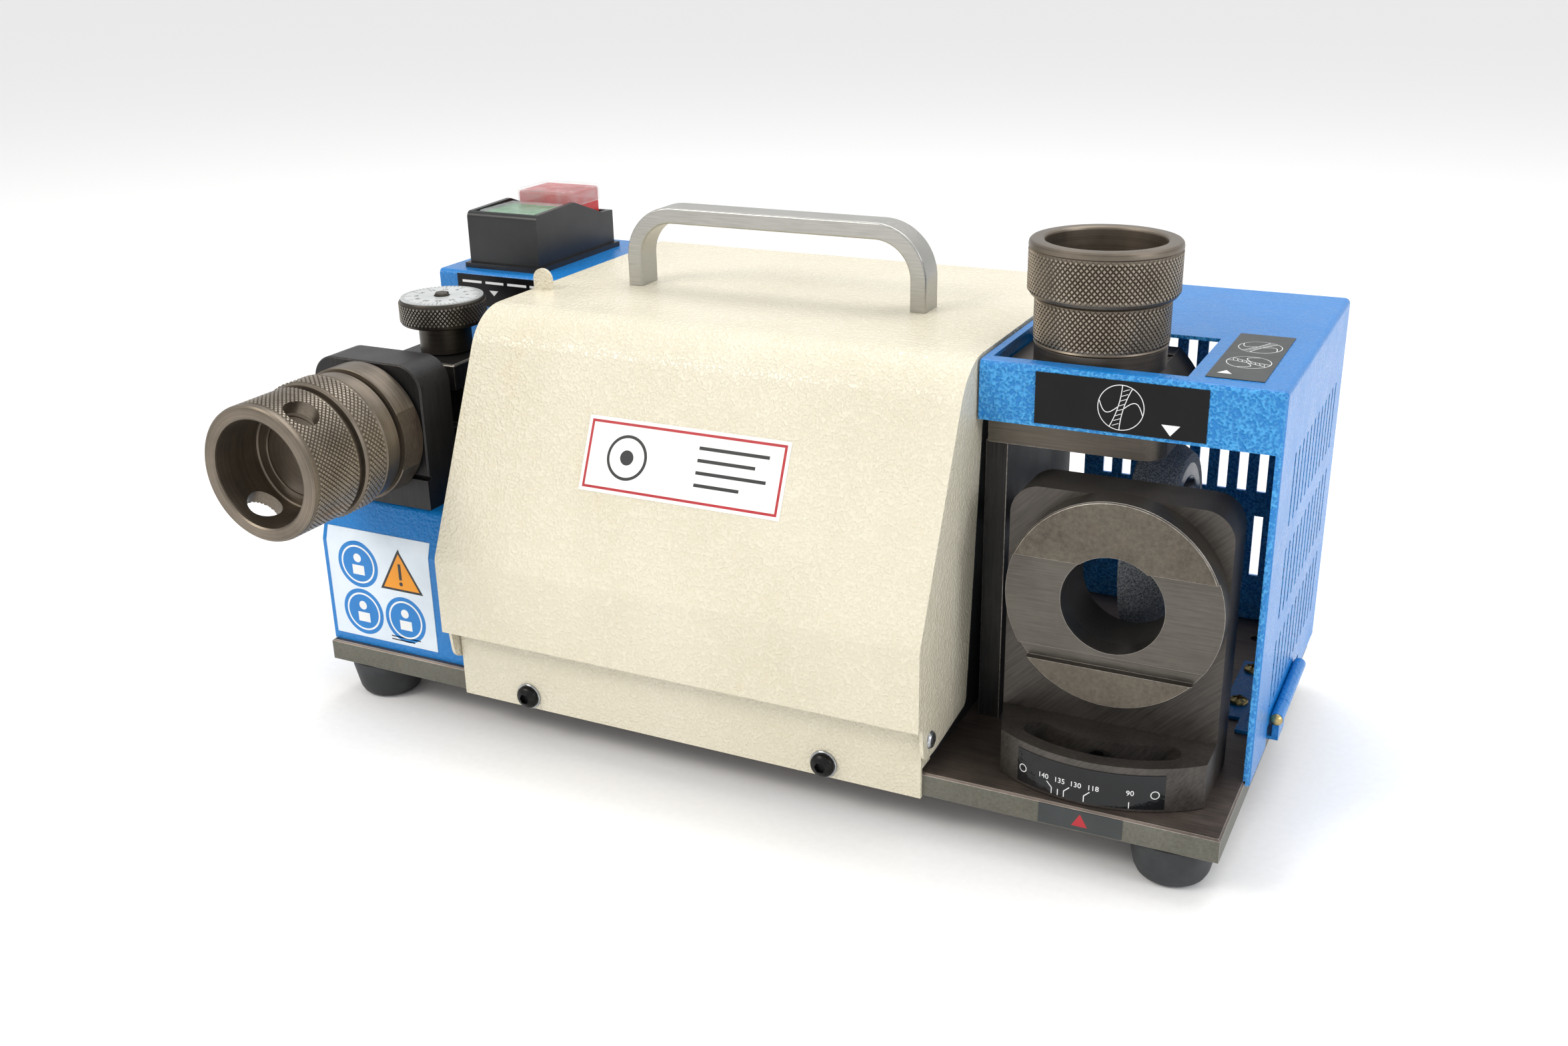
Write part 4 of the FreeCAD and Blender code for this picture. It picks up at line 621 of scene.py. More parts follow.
class Bench:
    """The frame seen in millimetres from the plate's lower front edge."""

    def __init__(self) -> None:
        """Find the plate and set the two transforms."""
        low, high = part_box("base_plate")
        zero = Vector(((low.x + high.x) / 2, low.y, low.z))
        self.to_frame = Matrix.Translation(zero) @ Matrix.Scale(0.001, 4)
        self.from_frame = self.to_frame.inverted()

    def metres(self, spot: Place) -> Place:
        """Give a place in the frame's metres."""
        return tuple(self.to_frame @ Vector(spot))

    def box(self, node: str) -> tuple[Vector, Vector]:
        """Give a node's lowest and highest corners."""
        low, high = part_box(node)
        return self.from_frame @ low, self.from_frame @ high

    def solids(self, node: str) -> list[tuple[Vector, Vector]]:
        """Give the corners of each separate solid of a node.

        Args:
            node: The node's name.

        Returns:
            Pairs of lowest and highest corners, from left to right and then front to back.
        """
        blank = Blank.copy(self, node)
        blank.mesh.verts.ensure_lookup_table()
        left = set(blank.mesh.verts)
        found = []
        while left:
            reached = [left.pop()]
            grown = list(reached)
            while reached:
                for edge in reached.pop().link_edges:
                    for vert in edge.verts:
                        if vert in left:
                            left.remove(vert)
                            reached.append(vert)
                            grown.append(vert)
            spots = [vert.co for vert in grown]
            found.append((Vector([min(spot[k] for spot in spots) for k in range(3)]),
                          Vector([max(spot[k] for spot in spots) for k in range(3)])))
        blank.mesh.free()
        return sorted(found, key=lambda pair: (round(pair[0].x), round(pair[0].y)))


class Blank:
    """A mesh in millimetres on its way to being a piece."""

    def __init__(self) -> None:
        """Start an empty mesh."""
        self.mesh = bmesh.new()

    @classmethod
    def copy(cls, bench: Bench, node: str) -> "Blank":
        """Copy a node of the frame, merged and with its flat faces whole.

        Args:
            bench: The bench.
            node: The node's name.

        Returns:
            The copy, in millimetres.
        """
        blank = cls()
        blank.mesh.from_mesh(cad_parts[node].data)
        bmesh.ops.remove_doubles(blank.mesh, verts=blank.mesh.verts, dist=2e-6)
        bmesh.ops.transform(blank.mesh, matrix=bench.from_frame, verts=blank.mesh.verts)
        bmesh.ops.dissolve_limit(blank.mesh, angle_limit=math.radians(0.3), verts=blank.mesh.verts,
                                 edges=blank.mesh.edges)
        for face in blank.mesh.faces:
            face.material_index = 0
        return blank

    @classmethod
    def turned(cls, profile: Sequence[Point], steps: int = 64, closed: bool = False) -> "Blank":
        """Spin a profile about z.

        Args:
            profile: Radius and height of each point.
            steps: How many steps make a full turn.
            closed: Whether the last point joins the first.

        Returns:
            The turned blank.
        """
        blank = cls()
        verts = [blank.mesh.verts.new((radius, 0, height)) for radius, height in profile]
        edges = [blank.mesh.edges.new(pair) for pair in zip(verts, verts[1:])]
        if closed:
            edges.append(blank.mesh.edges.new((verts[-1], verts[0])))
        bmesh.ops.spin(blank.mesh, geom=verts + edges, cent=(0, 0, 0), axis=(0, 0, 1), dvec=(0, 0, 0),
                       angle=math.tau, steps=steps, use_merge=True, use_duplicate=False)
        bmesh.ops.remove_doubles(blank.mesh, verts=blank.mesh.verts, dist=1e-4)
        bmesh.ops.recalc_face_normals(blank.mesh, faces=blank.mesh.faces)
        return blank

    @classmethod
    def slab(cls, outline: Sequence[Point], low: float, high: float) -> "Blank":
        """Raise a flat outline into a closed slab between two heights.

        Args:
            outline: The points of the outline, in millimetres.
            low: The height of its underside.
            high: The height of its top.

        Returns:
            The slab.
        """
        blank = cls()
        face = blank.mesh.faces.new([blank.mesh.verts.new((x, y, low)) for x, y in outline])
        raised = bmesh.ops.extrude_face_region(blank.mesh, geom=[face])["geom"]
        verts = [item for item in raised if isinstance(item, bmesh.types.BMVert)]
        bmesh.ops.translate(blank.mesh, verts=verts, vec=(0, 0, high - low))
        bmesh.ops.recalc_face_normals(blank.mesh, faces=blank.mesh.faces)
        return blank

    def sharp(self, limit: float = 35, most: float = 180,
              chosen: Optional[Callable[[bmesh.types.BMEdge], bool]] = None) -> list[bmesh.types.BMEdge]:
        """Find the edges whose faces meet at an angle within bounds.

        Args:
            limit: The least angle in degrees.
            most: The greatest angle in degrees.
            chosen: A further test of each edge.

        Returns:
            The edges.
        """
        self.mesh.normal_update()
        found = []
        for edge in self.mesh.edges:
            if len(edge.link_faces) == 2:
                angle = math.degrees(edge.calc_face_angle(0))
                if limit < angle <= most and (chosen is None or chosen(edge)):
                    found.append(edge)
        return found

    def bevel(self, radius: float, ink: int = -1, segments: int = 2, edges: Optional[list] = None) -> "Blank":
        """Round edges off.

        Args:
            radius: The width of the bevel.
            ink: The finish of the new faces, or -1 to keep their neighbours'.
            segments: How many faces make the round.
            edges: The edges, or every sharp edge.

        Returns:
            The blank itself.
        """
        bmesh.ops.bevel(self.mesh, geom=self.sharp() if edges is None else edges, offset=radius,
                        offset_type="OFFSET", segments=segments, profile=0.5, affect="EDGES", material=ink,
                        clamp_overlap=True)
        return self

    def place(self, matrix: Matrix) -> "Blank":
        """Move the whole blank and give it back."""
        bmesh.ops.transform(self.mesh, matrix=matrix, verts=self.mesh.verts)
        return self

    def add(self, other: "Blank", matrix: Optional[Matrix] = None, ink: int = 0) -> "Blank":
        """Join another blank to this one and use it up.

        Args:
            other: The blank to join.
            matrix: Where it goes.
            ink: How far its finishes move along the list.

        Returns:
            This blank.
        """
        if matrix is not None:
            other.place(matrix)
        carrier = bpy.data.meshes.new("carrier")
        for face in other.mesh.faces:
            face.material_index += ink
        other.mesh.to_mesh(carrier)
        other.mesh.free()
        self.mesh.from_mesh(carrier)
        bpy.data.meshes.remove(carrier)
        return self

    def minus(self, tool: "Blank") -> "Blank":
        """Cut another blank out of this one.

        Args:
            tool: The blank that is cut away and used up.

        Returns:
            This blank.
        """
        things = []
        for blank in (self, tool):
            carrier = bpy.data.meshes.new("carrier")
            blank.mesh.to_mesh(carrier)
            thing = bpy.data.objects.new("carrier", carrier)
            bpy.context.scene.collection.objects.link(thing)
            things.append(thing)
        cutter = things[0].modifiers.new("cut", "BOOLEAN")
        cutter.operation = "DIFFERENCE"
        cutter.solver = "EXACT"
        cutter.object = things[1]
        shape = things[0].evaluated_get(bpy.context.evaluated_depsgraph_get()).to_mesh()
        self.mesh.clear()
        self.mesh.from_mesh(shape)
        things[0].evaluated_get(bpy.context.evaluated_depsgraph_get()).to_mesh_clear()
        tool.mesh.free()
        for thing in things:
            carrier = thing.data
            bpy.data.objects.remove(thing)
            bpy.data.meshes.remove(carrier)
        return self

    def knurl(self, band: "Band", steps: int) -> "Blank":
        """Raise a diamond knurl on a band of a blank turned about z.

        Args:
            band: The band's rows.
            steps: How many steps the blank was turned in.

        Returns:
            The blank itself.
        """
        crossing, peaks = [], []
        for vert in self.mesh.verts:
            reach = math.hypot(vert.co.x, vert.co.y)
            if abs(reach - band.root) > 0.01 or not band.low - 0.01 < vert.co.z < band.high + 0.01:
                continue
            row = round((vert.co.z - band.low) / band.pitch)
            column = round(math.atan2(vert.co.y, vert.co.x) / math.tau * steps)
            if (row + column) % 2:
                crossing.append(vert)
            elif 0 < row < band.rows:
                peaks.append(vert)
        bmesh.ops.connect_verts(self.mesh, verts=crossing)
        bmesh.ops.dissolve_verts(self.mesh, verts=peaks, use_face_split=False, use_boundary_tear=False)
        valleys = set(crossing)
        diamonds = [face for face in self.mesh.faces
                    if len(face.verts) == 4 and all(vert in valleys for vert in face.verts)]
        bmesh.ops.inset_individual(self.mesh, faces=diamonds, thickness=band.slope, depth=band.tooth,
                                   use_even_offset=True)
        # The diamond tops take finish 1, tinted paler as a painted highlight.
        for face in diamonds:
            face.material_index = 1
        return self

    def piece(self, bench: Bench, name: str, body: str, slot: str, finishes: Sequence[Finish],
              replaces: Sequence[str], crisp: float = 35) -> bpy.types.Object:
        """Finish the blank as a piece of the machine.

        Args:
            bench: The bench.
            name: The piece's name.
            body: The body that it rides on.
            slot: The record's material slot; not used.
            finishes: Its finishes, in the order of its faces' numbers.
            replaces: The nodes whose place it takes.
            crisp: Edges sharper than this stay sharp.

        Returns:
            The piece.
        """
        for face in self.mesh.faces:
            face.smooth = True
        for edge in self.mesh.edges:
            edge.smooth = True
        for edge in self.sharp(crisp):
            edge.smooth = False
        bmesh.ops.transform(self.mesh, matrix=bench.to_frame, verts=self.mesh.verts)
        mesh = bpy.data.meshes.new(name)
        self.mesh.to_mesh(mesh)
        self.mesh.free()
        loose = mesh.attributes.get("custom_normal")
        if loose:
            mesh.attributes.remove(loose)
        for finish in finishes:
            mesh.materials.append(finish.material())
        thing = bpy.data.objects.new(name, mesh)
        bpy.context.scene.collection.objects.link(thing)
        weighting = thing.modifiers.new("weighted normals", "WEIGHTED_NORMAL")
        weighting.keep_sharp = True
        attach(thing, body)
        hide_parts(*replaces)
        log.info("%s: %d faces on %s", name, len(mesh.polygons), body)
        return thing


@dataclass(frozen=True)
class Band:
    """The rows of a knurled band."""

    low: float
    rows: int
    root: float
    pitch: float = 1.2
    slope: float = 0.36
    tooth: float = 0.5

    @property
    def high(self) -> float:
        """Give the height of the last row."""
        return self.low + self.rows * self.pitch

    def points(self) -> list[Point]:
        """Give the band's profile points from low to high."""
        return [(self.root, self.low + row * self.pitch) for row in range(self.rows + 1)]


def upright(spot: Place, axis: Place) -> Matrix:
    """Give the matrix that stands a blank turned about z on a spot, along an axis."""
    return Matrix.Translation(spot) @ Vector((0, 0, 1)).rotation_difference(Vector(axis)).to_matrix().to_4x4()


def dress(node: str, *finishes: Finish) -> None:
    """Give a node of the frame its finish as it stands.

    Args:
        node: The node's name.
        finishes: Its finish.
    """
    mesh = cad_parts[node].data
    mesh.materials.clear()
    for finish in finishes:
        mesh.materials.append(finish.material())
    log.info("%s: dressed as it stands", node)


def reworked(bench: Bench, node: str, body: str, slot: str, finishes: Sequence[Finish], radius: float = 0.35,
             ink: int = -1, folds: float = 0.0, sort: Optional[Callable] = None) -> bpy.types.Object:
    """Make a piece from a node by breaking its edges.

    Args:
        bench: The bench.
        node: The node's name.
        body: The body that it rides on.
        slot: The record's material slot.
        finishes: Its finishes.
        radius: How far the edges are broken.
        ink: The finish of the broken edges.
        folds: The radius of the folds of a bent sheet, or 0.
        sort: Gives a face its finish's number, or None to leave it.

    Returns:
        The piece.
    """
    blank = Blank.copy(bench, node)
    if folds:
        bends = blank.sharp(12, 80, lambda edge: edge.calc_length() > 12 and edge.is_convex)
        if bends:
            blank.bevel(folds, -1, 4, bends)
    blank.bevel(radius, ink)
    if sort:
        blank.mesh.normal_update()
        for face in blank.mesh.faces:
            choice = sort(face)
            if choice is not None:
                face.material_index = choice
    return blank.piece(bench, node + "_made", body, slot, finishes, [node])


# ------------------------------------------------------------------ screws


class Recess(Enum):
    """What a driver fits into."""

    NONE = 0
    HEX = 1
    CROSS = 2


@dataclass
class Screw:
    """A screw or rivet standing along z, its head's seat at height 0."""

    head: float
    height: float
    shank: float
    length: float
    crown: float = 0.8
    recess: Recess = Recess.HEX
    size: float = 2.0
    deep: float = 1.6
    steps: int = 48

    def rim(self, angle: float) -> float:
        """Give the recess's reach in a direction.

        Args:
            angle: The direction in radians.

        Returns:
            The distance from the axis.
        """
        if self.recess is Recess.HEX:
            sector = math.radians(60)
            return self.size / math.cos(angle % sector - sector / 2)
        side, front = abs(math.sin(angle)), abs(math.cos(angle))
        narrow = self.size * 0.24
        tiny = 1e-6
        first = min(self.size / max(front, tiny), narrow / max(side, tiny))
        second = min(self.size / max(side, tiny), narrow / max(front, tiny))
        return max(first, second)

    def blank(self) -> Blank:
        """Turn the screw and shape its recess.

        Returns:
            The screw as a blank.
        """
        ring = self.size
        brow = self.height - self.crown
        top = [(self.head * math.cos(turn), brow + self.crown * math.sin(turn))
               for turn in (math.radians(step) for step in (0, 12, 26, 42, 58))]
        profile = [(0, -self.length), (self.shank - 0.4, -self.length), (self.shank, 0.4 - self.length),
                   (self.shank, 0), (self.head - 0.2, 0), (self.head, 0.2)]
        profile += [point for point in top if point[0] > ring * 1.25]
        if self.recess is Recess.NONE:
            profile += [(self.head * 0.3, self.height), (0, self.height)]
            return Blank.turned(profile, self.steps)
        lip = self.height - 0.05
        profile += [(ring, lip), (ring, self.height - self.deep), (0, self.height - self.deep - 0.3)]
        blank = Blank.turned(profile, self.steps)
        for vert in blank.mesh.verts:
            reach = math.hypot(vert.co.x, vert.co.y)
            if abs(reach - ring) < 0.01 and vert.co.z > 0.05:
                angle = math.atan2(vert.co.y, vert.co.x)
                share = self.rim(angle) / reach
                vert.co.x *= share
                vert.co.y *= share
        return blank


# ------------------------------------------------------------------ printing


class Print:
    """Inked shapes on a film, drawn flat in millimetres from the film's lower left corner."""

    step = 0.03

    def __init__(self) -> None:
        """Start with no shapes."""
        self.blank = Blank()

    def shape(self, outline: Sequence[Point], ink: int, layer: int = 1) -> None:
        """Print a filled outline.

        Args:
            outline: Its corners.
            ink: The number of its finish.
            layer: How many layers of ink deep it stands.
        """
        slab = Blank.slab(outline, -0.05, layer * self.step)
        for face in slab.mesh.faces:
            face.material_index = ink
        self.blank.add(slab)

    def disc(self, centre: Point, radius: float, ink: int, layer: int = 1, steps: int = 40) -> None:
        """Print a disc."""
        self.shape([(centre[0] + radius * math.cos(math.tau * k / steps),
                     centre[1] + radius * math.sin(math.tau * k / steps)) for k in range(steps)], ink, layer)

    def bar(self, start: Point, end: Point, width: float, ink: int, layer: int = 1) -> None:
        """Print a straight stroke.

        Args:
            start: One end.
            end: The other end.
            width: How wide it is.
            ink: The number of its finish.
            layer: How many layers of ink deep it stands.
        """
        along = Vector((end[0] - start[0], end[1] - start[1]))
        side = Vector((-along.y, along.x)).normalized() * (width / 2)
        self.shape([(start[0] - side.x, start[1] - side.y), (end[0] - side.x, end[1] - side.y),
                    (end[0] + side.x, end[1] + side.y), (start[0] + side.x, start[1] + side.y)], ink, layer)

    def block(self, low: Point, high: Point, ink: int, layer: int = 1) -> None:
        """Print an upright rectangle."""
        self.shape([low, (high[0], low[1]), high, (low[0], high[1])], ink, layer)

    def frame(self, low: Point, high: Point, width: float, ink: int) -> None:
        """Print a rectangle's border.

        Args:
            low: The lower left corner, on the line's middle.
            high: The upper right corner, on the line's middle.
            width: The width of the line.
            ink: The number of its finish.
        """
        half = width / 2
        self.bar((low[0] - half, low[1]), (high[0] + half, low[1]), width, ink)
        self.bar((low[0] - half, high[1]), (high[0] + half, high[1]), width, ink)
        self.bar((low[0], low[1] + half), (low[0], high[1] - half), width, ink)
        self.bar((high[0], low[1] + half), (high[0], high[1] - half), width, ink)

    def figures(self, text: str, centre: Point, tall: float, ink: int, turn: float = 0.0) -> None:
        """Print a number.

        Args:
            text: The figures.
            centre: The middle of the number.
            tall: The height of a figure.
            ink: The number of its finish.
            turn: How far it is turned, in radians.
        """
        curve = bpy.data.curves.new("figures", "FONT")
        curve.body = text
        curve.size = tall * 1.38
        curve.align_x = "CENTER"
        curve.align_y = "CENTER"
        curve.extrude = 0.04
        curve.resolution_u = 3
        thing = bpy.data.objects.new("figures", curve)
        mesh = bpy.data.meshes.new_from_object(thing)
        bpy.data.objects.remove(thing)
        bpy.data.curves.remove(curve)
        digits = Blank()
        digits.mesh.from_mesh(mesh)
        bpy.data.meshes.remove(mesh)
        bmesh.ops.remove_doubles(digits.mesh, verts=digits.mesh.verts, dist=1e-4)
        for face in digits.mesh.faces:
            face.material_index = ink
        self.blank.add(digits, Matrix.Translation((*centre, 0)) @ Matrix.Rotation(turn, 4, "Z"))

    def folded(self, height: float, angle: float) -> "Print":
        """Bend the print back above a height.

        Args:
            height: The height of the fold.
            angle: How far it leans back, in radians.

        Returns:
            The print itself.
        """
        mesh = self.blank.mesh
        bmesh.ops.bisect_plane(mesh, geom=mesh.verts[:] + mesh.edges[:] + mesh.faces[:],
                               plane_co=(0, height, 0), plane_no=(0, 1, 0), dist=1e-4)
        hinge = (Matrix.Translation((0, height, 0)) @ Matrix.Rotation(-angle, 4, "X")
                 @ Matrix.Translation((0, -height, 0)))
        bmesh.ops.transform(mesh, matrix=hinge, verts=[vert for vert in mesh.verts if vert.co.y > height])
        return self

    def wrapped(self, radius: float) -> "Print":
        """Wrap the print round an upright drum, its middle at x 0 and its face outwards.

        Args:
            radius: The drum's radius.

        Returns:
            The print itself.
        """
        for vert in self.blank.mesh.verts:
            angle = vert.co.x / radius
            reach = radius + vert.co.z
            vert.co = Vector((reach * math.sin(angle), -reach * math.cos(angle), vert.co.y))
        return self


def facing_front(corner: Place) -> Matrix:
    """Give the matrix of a film that faces the front, from its lower left corner."""
    return Matrix.Translation(corner) @ Matrix.Rotation(math.radians(90), 4, "X")


def labelled(bench: Bench, node: str, body: str, slot: str, film: Finish, inks: Sequence[Finish],
             drawing: Print, matrix: Matrix) -> None:
    """Make a label of its node's film and its print.

    Args:
        bench: The bench.
        node: The label's node.
        body: The body that it rides on.
        slot: The record's material slot.
        film: The finish of the film, which is ink 0.
        inks: The other inks, from 1.
        drawing: The print.
        matrix: Where the print goes.
    """
    blank = Blank.copy(bench, node)
    blank.add(drawing.blank, matrix)
    blank.piece(bench, node + "_printed", body, slot, [film, *inks], [node])


# ------------------------------------------------------------------ sub-assemblies


@dataclass
class Base:
    """The ground plate on its four rubber feet."""

    bench: Bench
    edge: float = 0.55
    foot_edge: float = 1.6

    def build(self) -> None:
        """Make the plate, the feet and their screws."""
        def sort(face: bmesh.types.BMFace) -> Optional[int]:
            """Give the upright sides their own finish."""
            upright_side = abs(face.normal.z) < 0.1 and face.calc_area() > 60
            return 2 if upright_side and face.material_index == 0 else None

        reworked(self.bench, "base_plate", "frame", "ground_plate", [PLATE, WORN_EDGE_AND_HIGHLIGHT, PLATE_SIDE],
                 self.edge, 1, sort=sort)
        reworked(self.bench, "rubber_feet", "frame", "foot_rubber", [RUBBER], self.foot_edge)
        blank = Blank()
        for low, high in self.bench.solids("foot_screws"):
            middle = (low + high) / 2
            screw = Screw(head=(high.x - low.x) / 2, height=3.4, shank=3, length=high.z - low.z - 3.4,
                          size=2.0, crown=2.2)
            blank.add(screw.blank(), upright((middle.x, middle.y, low.z + 3.4), (0, 0, -1)))
        blank.piece(self.bench, "foot_screws_made", "frame", "black_screw", [SCREW_BLACK], ["foot_screws"])


@dataclass
class FrontBracket:
    """The cream angle across the front of the plate, screwed to its edge."""

    bench: Bench
    head: float = 3.3
    washer_hole: float = 3.05
    socket: float = 2.15

    def build(self) -> None:
        """Make the angle, its washers and its button screws."""
        reworked(self.bench, "front_bracket", "frame", "cream_paint", [CREAM], 0.4, folds=1.2)
        washers, screws = Blank(), Blank()
        for low, high in self.bench.solids("bracket_washers"):
            middle = (low + high) / 2
            outer, thick = (high.x - low.x) / 2, high.y - low.y
            ring = Blank.turned([(self.washer_hole, 0), (outer - 0.15, 0), (outer, 0.15),
                                 (outer, thick - 0.3),
                                 (outer - 0.3, thick), (self.washer_hole, thick)], 56, True)
            washers.add(ring, upright((middle.x, high.y, middle.z), (0, -1, 0)))
        washers.piece(self.bench, "bracket_washers_turned", "frame", "zinc_steel", [ZINC],
                      ["bracket_washers"])
        for low, high in self.bench.solids("bracket_screws"):
            middle = (low + high) / 2
            seat = low.y + self.head
            screw = Screw(head=(high.x - low.x) / 2, height=self.head, shank=3, length=high.y - seat,
                          crown=2.7, size=self.socket, deep=2.0)
            screws.add(screw.blank(), upright((middle.x, seat, middle.z), (0, -1, 0)))
        screws.piece(self.bench, "bracket_screws_turned", "frame", "black_screw", [SCREW_BLACK],
                     ["bracket_screws"])


@dataclass
class SwingCover:
    """The cream cover that swings forwards, with its bow handle and name plate."""

    bench: Bench
    name_border: float = 1.1
    name_inset: float = 2.0

    def name_print(self, wide: float, tall: float) -> Print:
        """Draw a plain name plate: a border, a ring about a dot and a row of bars.

        Args:
            wide: The plate's width.
            tall: The plate's height along its slope.

        Returns:
            The drawing.
        """
        drawing = Print()
        inset = self.name_inset
        drawing.frame((inset, inset), (wide - inset, tall - inset), self.name_border, 1)
        hub = (wide * 0.22, tall * 0.5)
        for share, ink, layer, steps in ((0.3, 2, 1, 48), (0.26, 0, 2, 48), (0.1, 2, 3, 32)):
            drawing.disc(hub, tall * share, ink, layer, steps)
        for row, length in enumerate((0.34, 0.28, 0.34, 0.22)):
            level = tall * (0.78 - 0.16 * row)
            drawing.block((wide * 0.57, level - 1.2), (wide * (0.57 + length), level + 0.2), 2)
        return drawing

    def build(self) -> None:
        """Make the cover and everything that swings with it."""
        bench = self.bench
        reworked(bench, "swing_cover", "cover", "cream_paint", [CREAM], 0.45, folds=1.6)
        reworked(bench, "handle", "cover", "satin_aluminium", [ALUMINIUM], 0.3)
        dress("handle_screws", SCREW_BLACK)
        reworked(bench, "cover_rivets", "frame", "zinc_steel", [ZINC], 0.12)
        low, high = bench.box("name_label")
        thick = 0.3
        lean = math.atan2(high.y - low.y - thick, high.z - low.z)
        tall = (high.z - low.z) / math.cos(lean) - thick * math.tan(lean)
        corner = (low.x, low.y, low.z + thick * math.sin(lean))
        matrix = Matrix.Translation(corner) @ Matrix.Rotation(math.radians(90) - lean, 4, "X")
        labelled(bench, "name_label", "cover", "white_label", WHITE_FILM, [RED_INK, DARK_INK],
                 self.name_print(high.x - low.x, tall), matrix)


@dataclass
class Drive:
    """Partitions, motor, shaft and grinding wheel inside the covers."""

    bench: Bench

    def build(self) -> None:
        """Make the parts of the drive."""
        bench = self.bench
        for node in ("left_partition", "right_partition"):
            reworked(bench, node, "frame", "black_wrinkle", [BLACK_WRINKLE], 0.25)
        for node in ("motor_body", "motor_drive_cap", "motor_tail_cap", "motor_cradle"):
            reworked(bench, node, "frame", "motor_grey", [MOTOR_GREY], 0.6)
        reworked(bench, "shaft_bearings", "frame", "bright_steel", [BRIGHT_STEEL], 0.3)
        reworked(bench, "cradle_bolts", "frame", "black_screw", [SCREW_BLACK], 0.3)
        reworked(bench, "motor_shaft", "spindle", "bright_steel", [BRIGHT_STEEL], 0.3)
        reworked(bench, "wheel_nut", "spindle", "bright_steel", [ZINC], 0.3)
        centre = bench.metres((0, *WHEEL_AXIS))
        metal = Machined(WHEEL_METAL, "9c9d9f", "cfd0d2", Grain.NONE, ("x", centre), 0.5, 0.012, 0.97, 0.24,
                         "8a8a88", 0.1, 0.3)
        reworked(bench, "wheel_hub", "spindle", "turned_aluminium", [metal], 0.35)
        reworked(bench, "abrasive_ring", "spindle", "abrasive", [Grit("wheel grit")], 0.25)


